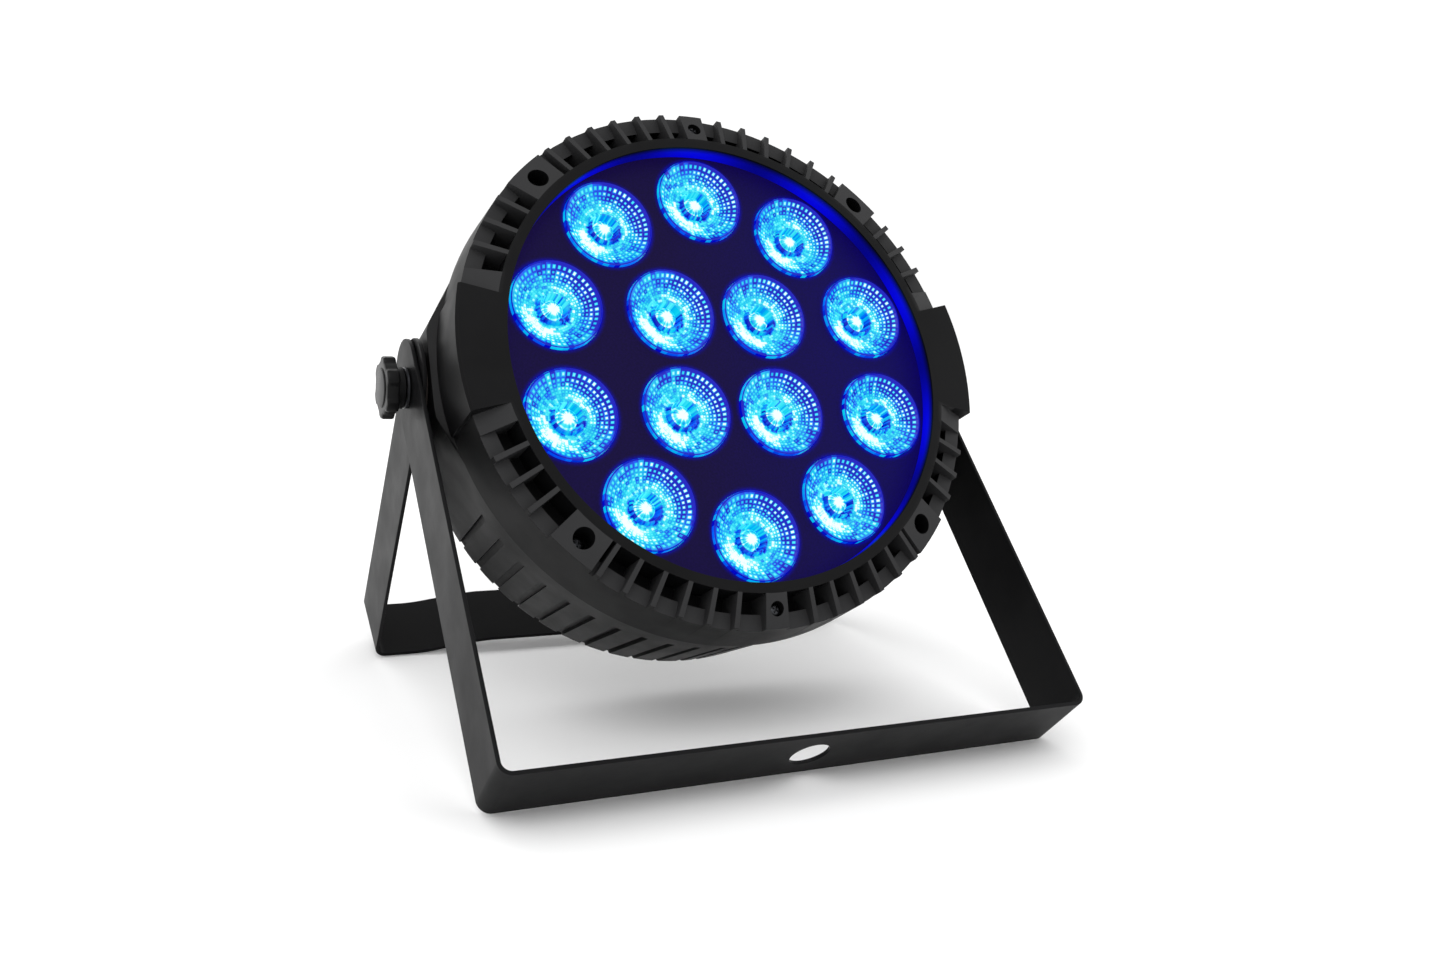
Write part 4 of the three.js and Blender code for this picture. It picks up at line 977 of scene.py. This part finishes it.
def housing_mesh(f):
    """The rear shell: round at both ends, drawn out to a boss on each side, with cooling grooves."""
    half = math.degrees(f.groove_width / 2 / f.housing)
    edges = {-180.0, 180.0}
    spans = []
    for angle in both(GROOVES):
        spans.append((angle - half, angle + half))
        edges |= {edge for edge in spans[-1] if -180 < edge < 180}
    lines = filled(edges, HOUSING_STEP)
    us = [math.radians(line) for line in lines]
    round_start = f.housing_back - f.back_round
    boss_front = f.pivot_back - f.boss_half_depth
    boss_back = f.pivot_back + f.boss_half_depth
    groove_line = f.housing_front + f.groove_start
    ys = [f.housing_front, f.housing_front + 0.7 * MM, boss_front, groove_line]
    ys += [groove_line + (boss_back - groove_line) * k / 4 for k in range(1, 5)]
    ys += [boss_back + (round_start - boss_back) * k / 6 for k in range(1, 7)]
    ys += [round_start + f.back_round * math.sin(k * math.pi / 16) for k in range(1, 9)]
    corner = 3 * MM

    def plain(y):
        share = min(1, (y - f.housing_front) / (round_start - f.housing_front))
        return f.housing - share * f.housing_taper

    outside = []
    for y in ys:
        if y > round_start:
            fall = f.back_round - math.sqrt(max(0, f.back_round**2 - (y - round_start) ** 2))
            outside.append(np.full(len(us), f.housing_rear - fall))
            continue
        if y < boss_front:
            away, end = (boss_front - y) / (boss_front - f.housing_front), f.housing
        else:
            away, end = max(0, y - boss_back) / (round_start - boss_back), f.housing_rear
        circles = [(0, 0, plain(y))]
        for sx in (-1, 1):
            for sz in (-1, 1):
                x = sx * (f.boss_face - corner)
                z = f.pivot_up + sz * (f.boss_half_height - corner)
                circles.append((x * (1 - away), z * (1 - away), corner * (1 - away) + end * away))
        outside.append(outline_radius(us, circles))
    table = {(round(u, 9), y): outside[k][i] for k, y in enumerate(ys) for i, u in enumerate(us)}
    skin = lambda u, y: float(table[round(u, 9), y])

    def groove(u, y):
        return min(skin(u, y), plain(y) - f.groove_depth)

    def inside(u, y):
        share = max(0, (y - round_start) / f.back_round)
        wall = plain(y) - f.housing_wall
        return wall + share * (f.cover + f.gap - wall)

    def cell(i, j):
        here = lines[i]
        after = lines[i + 1] if i + 1 < len(lines) else 180
        grooved = any(start < (here + after) / 2 < end for start, end in spans)
        outer = groove if grooved and ys[j] >= groove_line - 1e-9 else skin
        return outer, inside, 0, 0, 0

    made = relief(us, ys, cell, lambda u, y, r: (r * math.sin(u), y, r * math.cos(u)))
    return softened(made, 0.35 * MM, angle=45)


def cover_mesh(f):
    """The rear cover, with its vents and the openings for the panel pieces."""
    holes = [rounded_box(WINDOW.width + 2 * f.gap, WINDOW.height + 2 * f.gap, MM, 0, WINDOW.up)]
    holes += [circle(BUTTON.radius + f.gap, x, z) for x, z in BUTTONS]
    holes.append(rounded_box(INLET.width + 2 * f.gap, INLET.height + 2 * f.gap, MM, INLET.x, INLET.z))
    holes.append(circle(FUSE.hole, FUSE.x, FUSE.z))
    holes += [circle(SIGNAL_HOLE, *spot) for _, spot, _ in SIGNALS]
    screw_ring = f.cover - COVER_SCREW_INSET
    holes += [circle(SCREWS["panel"].well, *polar(screw_ring, angle), 16) for angle in COVER_SCREWS]
    corner = 1.4 * MM
    for i in range(7):
        for side in (-1, 1):
            z = (i - 3) * VENT.pitch + VENT.up
            holes.append(rounded_box(VENT.width, VENT.height, corner, side * VENT.out, z))
    for i in range(6):
        z = (i - 2.5) * FAN.pitch
        reach = math.sqrt(FAN.radius**2 - z**2)
        holes.append(rounded_box(2 * reach, VENT.height, corner, 0, FAN.up + z))
    return cut_sheet(circle(f.cover, steps=ROUND), holes, f.cover_inside, f.cover_face, 0.35 * MM)


def key_mesh(f):
    """A menu button: a collar behind the cover, and a dished face."""
    top, inside, edge = f.cover_face + BUTTON.proud, f.cover_inside - BUTTON.inside, BUTTON.radius
    collar, step = edge + BUTTON.collar, inside + BUTTON.collar_height
    profile = [(0, inside), (collar, inside), (collar, step), (edge, step), (edge, top - 0.7 * MM)]
    profile += [(edge - 0.2 * MM, top - 0.2 * MM), (edge - 0.7 * MM, top), (edge - 1.6 * MM, top - 0.1 * MM)]
    profile += [(edge * 0.3, top - 0.35 * MM), (0, top - 0.38 * MM)]
    return turned(profile, 48)


def inlet_mesh(f):
    """Mains inlet: a flange with two cut corners in its cup, and three blades."""
    top, cut = f.socket_face, INLET.corner
    w, h = INLET.width / 2 - INLET.wall, INLET.height / 2 - INLET.wall
    cup = [(-w, -h), (w, -h), (w, h - cut), (w - cut, h), (cut - w, h), (-w, h - cut)]
    flange = rounded_box(INLET.flange_width, INLET.flange_height, 2 * MM)
    shell = rounded_box(INLET.width - 0.4 * MM, INLET.height - 0.4 * MM, 1.5 * MM)
    floor = rounded_box(INLET.width - MM, INLET.height - MM, 1.5 * MM)
    plastic = joined(
        cut_sheet(flange, [cup], top - FLANGE, top, 0.3 * MM),
        cut_sheet(shell, [cup], top - 18 * MM, top - 1.8 * MM, 0.2 * MM),
        cut_sheet(floor, [], top - 20 * MM, top - 15 * MM, 0.2 * MM),
    )
    blades = []
    for x, z in [(-7, -1.5), (0, 2), (7, -1.5)]:
        outline = rounded_box(2 * MM, 4 * MM, 0.4 * MM, x * MM, z * MM, 3)
        blades.append(cut_sheet(outline, [], top - 16 * MM, top - 6.5 * MM, 0.3 * MM))
    return [moved(mesh, INLET.x, 0, INLET.z) for mesh in (plastic, joined(*blades))]


def fuse_mesh(f):
    """The fuse holder's cap, with a slot for a coin."""
    top = f.socket_face
    cap = turned(sunk(top, [(0, 24), (6, 24), (6, 2), (7.5, 2), (7.5, -0.9), (6.9, -1.5), (0, -1.5)]), 48)
    slot = rounded_box(10 * MM, 1.6 * MM, 0.3 * MM)
    cutter = cut_sheet(slot, [], top + 0.3 * MM, top + 3 * MM, 0.05 * MM)
    return moved(cut_by(cap, cutter), FUSE.x, 0, FUSE.z)


def signal_mesh(f, spot, female):
    """A round signal socket: a flange with a rolled lip, an insert, and pins or holes."""
    top = f.socket_face
    lip = [(14, 2), (14, 0.4), (13.6, 0), (9.4, 0), (8.6, 0.5), (8.6, 18), (11, 18), (11, 2)]
    ring = turned(sunk(top, lip), 64)
    pins = [(0, 4.2 * MM), (-3.9 * MM, -1.9 * MM), (3.9 * MM, -1.9 * MM)]
    if female:
        holes = [circle(1.3 * MM, x, z, 20) for x, z in pins]
        insert = cut_sheet(circle(8.2 * MM), holes, top - 8 * MM, top - 0.8 * MM, 0.3 * MM)
        contact = [(1.25, 2), (1.25, 8), (0.9, 8), (0.9, 2)]
    else:
        insert = cut_sheet(circle(8.5 * MM), [], top - 17 * MM, top - 14 * MM, 0.3 * MM)
        contact = [(0, 15), (1.2, 15), (1.2, 7.2), (0.6, 6.5), (0, 6.5)]
    metal = joined(*[moved(turned(sunk(top, contact), 20), x, 0, z) for x, z in pins])
    return [moved(mesh, spot[0], 0, spot[1]) for mesh in (ring, insert, metal)]


def eye_mesh(f):
    """The safety eye: a foot on the cover and a round lug with its hole."""
    top = f.cover_face + f.gap
    outline = rounded_box(EYE.foot_width, EYE.foot_height, 2 * MM, 0, EYE.up)
    screws = [circle(1.6 * MM, side * EYE.screw, EYE.up, 16) for side in (-1, 1)]
    foot = cut_sheet(outline, screws, top, top + FLANGE, 0.3 * MM)
    middle = top + EYE.rise
    angles = [i * math.pi / 24 for i in range(25)]
    lug = [(EYE.radius * math.cos(a), middle + EYE.radius * math.sin(a)) for a in angles]
    lug += [(-EYE.radius, top + MM), (EYE.radius, top + MM)]
    hole = circle(EYE.hole, 0, middle + 0.5 * MM)
    plate = cut_sheet(lug, [hole], -EYE.thickness / 2, EYE.thickness / 2, 0.4 * MM)
    plate.transform(Matrix.Translation((0, 0, EYE.up)) @ Matrix.Rotation(-math.pi / 2, 4, "X"))
    return joined(foot, plate)


# ---------------------------------------------------------------- pivots


def washer_mesh(f, radius, face):
    hole, edge, back = f.stud_radius + f.gap, 0.25 * MM, face + f.washer_thickness
    front = [(hole, face), (radius - edge, face), (radius, face + edge)]
    return turned(front + [(radius, back - edge), (radius - edge, back), (hole, back)], 64)


def grip_mesh(f):
    """The clamp knob: a round core, a lobed head and a flat cap."""
    lobes = []
    for i in range(ROUND):
        angle = i * TURN / ROUND
        reach = f.knob_radius - f.knob_flute / 2 * (1 - math.tanh(2.5 * math.cos(6 * angle)))
        lobes.append((reach * math.cos(angle), reach * math.sin(angle)))
    face, core = f.knob_face, f.knob_core
    start = face + f.knob_core_length
    end = start + f.knob_head_length
    profile = [(0, face), (core - 0.4 * MM, face), (core, face + 0.4 * MM), (core, start - 0.2 * MM)]
    profile += [(core + 0.8 * MM, start + 0.6 * MM), (0, start + 0.6 * MM)]
    cap = sunk(end, [(0, 1.5), (7.6, 1.5), (7.6, 0.3), (7.1, 0), (0, 0)])
    return joined(cut_sheet(lobes, [], start, end - 0.5 * MM, 0.9 * MM), turned(profile, 64), turned(cap, 64))


def stud_mesh(f):
    """The knob's stud, its thread drawn as rings one pitch apart."""
    start, end, pitch = f.boss_face - 9.4 * MM, f.knob_face + MM, 1.25 * MM
    root = f.stud_radius - 0.6 * MM
    profile = [(0, start), (root, start)]
    for k in range(int((end - start) / pitch)):
        y = start + k * pitch
        profile += [(root, y + 0.3 * MM), (f.stud_radius, y + 0.75 * MM)]
    return turned(profile + [(f.stud_radius - 0.4 * MM, end), (0, end)], 32)


# ---------------------------------------------------------------- brackets


def bent_line(corners, radii):
    """The middle line of a bent strip, as (length along it, x, z, heading) at each end and bend step."""
    steps = 10
    stations = []
    run = 0.0
    here = Vector(corners[0])
    for k in range(1, len(corners)):
        corner = Vector(corners[k])
        into = (corner - Vector(corners[k - 1])).normalized()
        heading = math.atan2(into.y, into.x)
        if k == len(corners) - 1:
            end = corner
        else:
            out = (Vector(corners[k + 1]) - corner).normalized()
            turn = math.atan2(into.x * out.y - into.y * out.x, into.dot(out))
            radius = radii[k - 1]
            end = corner - into * radius * math.tan(abs(turn) / 2)
        stations.append((run, here.x, here.y, heading))
        run += (end - here).length
        stations.append((run, end.x, end.y, heading))
        here = end
        if k == len(corners) - 1:
            break
        for i in range(steps):
            chord = 2 * radius * math.sin(abs(turn) / steps / 2)
            middle = heading + turn * (i + 0.5) / steps
            here = here + chord * Vector((math.cos(middle), math.sin(middle)))
            run += radius * abs(turn) / steps
            stations.append((run, here.x, here.y, heading + turn * (i + 1) / steps))
    return stations


def strip_mesh(f, corners, radii):
    """A flat strip with round ends and its holes, cut flat, then folded along its bends."""
    stations = bent_line(corners, radii)
    length = stations[-1][0]
    half = f.strip_width / 2
    angles = [i * math.pi / 24 for i in range(25)]
    outline = [(length - half + half * math.sin(a), -half * math.cos(a)) for a in angles]
    outline += [(half - half * math.sin(a), half * math.cos(a)) for a in angles]
    holes = [circle(f.stud_radius + f.gap, x) for x in (f.strip_tip, length - f.strip_tip)]
    holes.append(circle(f.hang_hole, length / 2, 0, 48))
    deep = f.strip_thickness / 2
    bm = opened(cut_sheet(outline, holes, -deep, deep, 0.3 * MM))
    for run, *_ in stations[1:-1]:
        everything = bm.verts[:] + bm.edges[:] + bm.faces[:]
        bmesh.ops.bisect_plane(bm, geom=everything, dist=1e-7, plane_co=(run, 0, 0), plane_no=(1, 0, 0))
    runs = np.array([station[0] for station in stations])
    for vert in bm.verts:
        along, thick, across = vert.co
        k = int(np.clip(np.searchsorted(runs, along, side="right") - 1, 0, len(runs) - 2))
        span = runs[k + 1] - runs[k]
        share = (along - runs[k]) / span if span > 1e-9 else 0
        a, b = stations[k], stations[k + 1]
        x, z, heading = (a[i] + (b[i] - a[i]) * share for i in (1, 2, 3))
        vert.co = (x - thick * math.sin(heading), across, z + thick * math.cos(heading))
    return mesh_of(bm, "strip")


# ---------------------------------------------------------------- operators


class BuildLenses(bpy.types.Operator):
    """Build the lit lenses and the plate they stand in"""

    bl_idname = "par_can.lenses"
    bl_label = "Lenses and plate"

    def execute(self, context):
        f = figures()
        head = head_frame(f)
        glass = [lit_lens()]
        mesh = lens_mesh(f)
        for i, (x, z) in enumerate(lens_centres(f)):
            number = f"{i + 1:02d}"
            place = head @ Matrix.Translation((x, 0, z))
            piece("optic_" + number, mesh.copy(), place, "head", glass, "lens", ["lens_" + number], sharp=18)
        holes = [circle(f.lens_radius, x, z, 64) for x, z in lens_centres(f)]
        front, back = f.plate_setback, f.plate_setback + f.plate_thickness
        sheet = cut_sheet(circle(f.plate, steps=ROUND), holes, front, back, 0.2 * MM)
        piece("lens_mask", sheet, head, "head", [painted_glow_plate()], "lens_plate", ["lens_plate"])
        return {"FINISHED"}


class BuildBezel(bpy.types.Operator):
    """Build the front bezel and its screws"""

    bl_idname = "par_can.bezel"
    bl_label = "Front bezel"

    def execute(self, context):
        f = figures()
        finishes = [smooth_abs(), sparked_abs(), painted_glow_wall()]
        ring = bezel_mesh(f)
        piece("bezel_ring", ring, head_frame(f), "head", finishes, "bezel_plastic", ["front_bezel"])
        for kind, node, slot, angles, seat, turns in [
            ("pad", "bezel_screw", "screw_black", both(PADS), f.pad_seat, [20, 50, 80, 110]),
            ("small", "tab_screw", "screw_steel", TABS, f.tab_seat, [35, 35]),
        ]:
            screw_row(f, kind, node, slot, f.pad_screw, angles, seat - f.gap, turns)
        return {"FINISHED"}


class BuildHousing(bpy.types.Operator):
    """Build the rear housing"""

    bl_idname = "par_can.housing"
    bl_label = "Rear housing"

    def execute(self, context):
        f = figures()
        shell, finish = housing_mesh(f), [housing_abs()]
        place = head_frame(f)
        piece("housing_shell", shell, place, "head", finish, "housing_plastic", ["rear_housing"], sharp=28)
        return {"FINISHED"}


class BuildRearPanel(bpy.types.Operator):
    """Build the rear cover with its window, buttons, sockets, fuse, eye and screws"""

    bl_idname = "par_can.rear_panel"
    bl_label = "Rear panel"

    def execute(self, context):
        f = figures()
        head = head_frame(f)
        nylon, plated, brass = gloss_nylon(), nickel(), turned_brass()

        def on_head(name, mesh, finish, slot, nodes=()):
            piece(name, mesh, head, "head", [finish], slot, nodes)

        on_head("vented_cover", cover_mesh(f), housing_abs(), "cover_plastic", ["rear_cover"])
        outline = rounded_box(WINDOW.width, WINDOW.height, WINDOW.corner, 0, WINDOW.up)
        pane = cut_sheet(outline, [], f.cover_inside - MM, f.cover_face + WINDOW.proud, 0.3 * MM)
        on_head("menu_window", pane, smoked_acrylic(), "window", ["display_window"])
        for i, (x, z) in enumerate(BUTTONS):
            place, body, node = head @ Matrix.Translation((x, 0, z)), f"button_{i + 1}", f"menu_button_{i + 1}"
            piece(f"key_{i + 1}", key_mesh(f), place, body, [sparked_abs()], "button", [node])
        plastic, metal = inlet_mesh(f)
        on_head("mains_inlet", plastic, nylon, "socket_plastic", ["power_inlet"])
        on_head("mains_blades", metal, plated, "socket_metal")
        on_head("fuse_cap", fuse_mesh(f), nylon, "socket_plastic", ["fuse_holder"])
        for name, spot, female in SIGNALS:
            ring, insert, contacts = signal_mesh(f, spot, female)
            on_head(name + "_ring", ring, plated, "socket_metal", [name + "_socket"])
            on_head(name + "_insert", insert, nylon, "socket_plastic")
            on_head(name + "_contacts", contacts, brass, "brass_insert")
        on_head("wire_eye", eye_mesh(f), black_oxide(), "black_steel", ["safety_eye"])
        ring, seat, turns = f.cover - COVER_SCREW_INSET, f.cover_face + f.gap, [15, 55, 95, 135]
        screw_row(f, "panel", "cover_screw", "screw_black", ring, COVER_SCREWS, seat, turns, flip=math.pi)
        return {"FINISHED"}


class BuildPivots(bpy.types.Operator):
    """Build the washers and clamp knobs on both pivots"""

    bl_idname = "par_can.pivots"
    bl_label = "Clamp knobs"

    def execute(self, context):
        f = figures()
        fibre, steel, zinc, nylon = pressed_fibre(), black_oxide(), zinc_steel(), gloss_nylon()
        for side, word in [(-1, "left"), (1, "right")]:
            place = pivot_frame(f, side)
            for name, radius, face, finish, slot in [
                ("friction_washer_", f.friction_radius, f.friction_face, fibre, "friction_fibre"),
                ("clamp_washer_", f.washer_radius, f.washer_face, steel, "washer_steel"),
            ]:
                ring = washer_mesh(f, radius, face)
                piece("pivot_" + name + word, ring, place, "head", [finish], slot, [name + word])
            body, node = "knob_" + word, "clamp_knob_" + word
            piece("clamp_grip_" + word, grip_mesh(f), place, body, [nylon], "knob_plastic", [node])
            piece("clamp_stud_" + word, stud_mesh(f), place, body, [zinc], "washer_steel")
        return {"FINISHED"}


class BuildBrackets(bpy.types.Operator):
    """Build the front and rear brackets"""

    bl_idname = "par_can.brackets"
    bl_label = "Brackets"

    def execute(self, context):
        f = figures()
        half = f.strip_thickness / 2
        bend = f.bend_radius - half
        x = f.front_half - half
        z = half - base_drop("front_base")
        front = strip_mesh(f, [(-x, f.strip_tip), (-x, z), (x, z), (x, f.strip_tip)], [bend, bend])
        x = f.rear_half - half
        raised = half - base_drop("rear_base")
        z = raised - f.joggle_height
        start = x - f.joggle_inset
        end = start - f.joggle_length
        corners = [(-x, f.strip_tip), (-x, z), (-start, z), (-end, raised)]
        corners += [(-cx, cz) for cx, cz in reversed(corners)]
        rear = strip_mesh(f, corners, [bend] + [f.joggle_radius] * 4 + [bend])
        paint = [powder_coat()]
        for word, mesh in [("front", front), ("rear", rear)]:
            place, body = stand_frame(word + "_base"), word + "_bracket"
            piece(word + "_stand", mesh, place, body, paint, "bracket_paint", [body])
        return {"FINISHED"}


class FinishInside(bpy.types.Operator):
    """Give the inner pieces that stay as CAD their materials"""

    bl_idname = "par_can.inside"
    bl_label = "Inner pieces"

    def execute(self, context):
        green = solder_mask("Green solder mask", "14502c")
        black, brass = gloss_nylon(), turned_brass()
        finishes = {
            "led_board": solder_mask("White solder mask", "dcdcd6"),
            "heat_sink": extruded_aluminium(),
            "power_board": green,
            "control_board": green,
            "fan_frame": black,
            "fan_rotor": black,
            "pivot_insert_left": brass,
            "pivot_insert_right": brass,
        }
        for name, finish in finishes.items():
            node = frame["nodes"][name]
            node.data.materials.clear()
            node.data.materials.append(finish)
        return {"FINISHED"}


class BuildStage(bpy.types.Operator):
    """Build the floor, the lights and the camera"""

    bl_idname = "par_can.stage"
    bl_label = "Stage"

    def execute(self, context):
        scene = bpy.context.scene
        # Painted studio floor: pale and matt, with a faint unevenness.
        pale = linear("fafafa")
        paint = grained("Matt painted studio floor", pale, 0.9, 6 * MM, 0.05 * MM, mottle=0.01, cloud=0.4)
        bm = bmesh.new()
        bmesh.ops.create_grid(bm, x_segments=8, y_segments=8, size=40)
        floor = shown("studio_floor", mesh_of(bm, "studio_floor"))
        floor.data.materials.append(paint)
        world = bpy.data.worlds.new("studio")
        scene.world = world
        world.use_nodes = True
        sky = world.node_tree.nodes["Background"]
        sky.inputs["Color"].default_value = linear("ffffff")
        sky.inputs["Strength"].default_value = 1.08
        aim = Vector((0, 0, 0.12))
        for name, spot, width, power in [
            ("key_softbox", (-0.5, -0.9, 1.5), 0.9, 6),
            ("fill_softbox", (1.5, -0.6, 0.8), 1.0, 2.5),
            ("rim_softbox", (-0.3, 1.5, 1.2), 1.2, 7),
        ]:
            data = bpy.data.lights.new(name, "AREA")
            data.size = width
            data.energy = power
            lamp = shown(name, data)
            lamp.location = spot
            lamp.rotation_euler = (aim - Vector(spot)).to_track_quat("-Z", "Y").to_euler()
        data = bpy.data.cameras.new("camera")
        data.sensor_width = 36
        data.lens = 33.03
        data.shift_x = 0.0003
        data.shift_y = -0.0073
        camera = shown("camera", data)
        right = Vector((0.8927, -0.4451, 0.0706))
        up = Vector((0.0171, 0.1902, 0.9816))
        ahead = Vector((0.4504, 0.8751, -0.1774))
        turn = Matrix((right, up, -ahead)).transposed().to_4x4()
        camera.matrix_world = Matrix.Translation((-0.2387, -0.4811, 0.1917)) @ turn
        scene.camera = camera
        scene.view_settings.view_transform = "Standard"
        return {"FINISHED"}


class ParCanPanel(bpy.types.Panel):
    """The par can's operators, sizes and colours."""

    bl_idname = "VIEW3D_PT_par_can"
    bl_label = "Par can"
    bl_space_type = "VIEW_3D"
    bl_region_type = "UI"
    bl_category = "Par can"

    def draw(self, context):
        for operator in OPERATORS:
            self.layout.operator(operator.bl_idname)
        for group in (context.scene.par_can_sizes, context.scene.par_can_colours):
            box = self.layout.box()
            for key in own(group):
                box.prop(group, key)


OPERATORS = [BuildLenses, BuildBezel, BuildHousing, BuildRearPanel]
OPERATORS += [BuildPivots, BuildBrackets, FinishInside, BuildStage]
CLASSES = [ParCanSizes, ParCanColours, *OPERATORS, ParCanPanel]


def register():
    for each in CLASSES:
        bpy.utils.register_class(each)
    bpy.types.Scene.par_can_sizes = PointerProperty(type=ParCanSizes)
    bpy.types.Scene.par_can_colours = PointerProperty(type=ParCanColours)


def unregister():
    del bpy.types.Scene.par_can_colours
    del bpy.types.Scene.par_can_sizes
    for each in reversed(CLASSES):
        bpy.utils.unregister_class(each)


def main():
    register()
    bpy.ops.par_can.lenses()
    bpy.ops.par_can.bezel()
    bpy.ops.par_can.housing()
    bpy.ops.par_can.rear_panel()
    bpy.ops.par_can.pivots()
    bpy.ops.par_can.brackets()
    bpy.ops.par_can.inside()
    bpy.ops.par_can.stage()


if __name__ == "__main__":
    main()
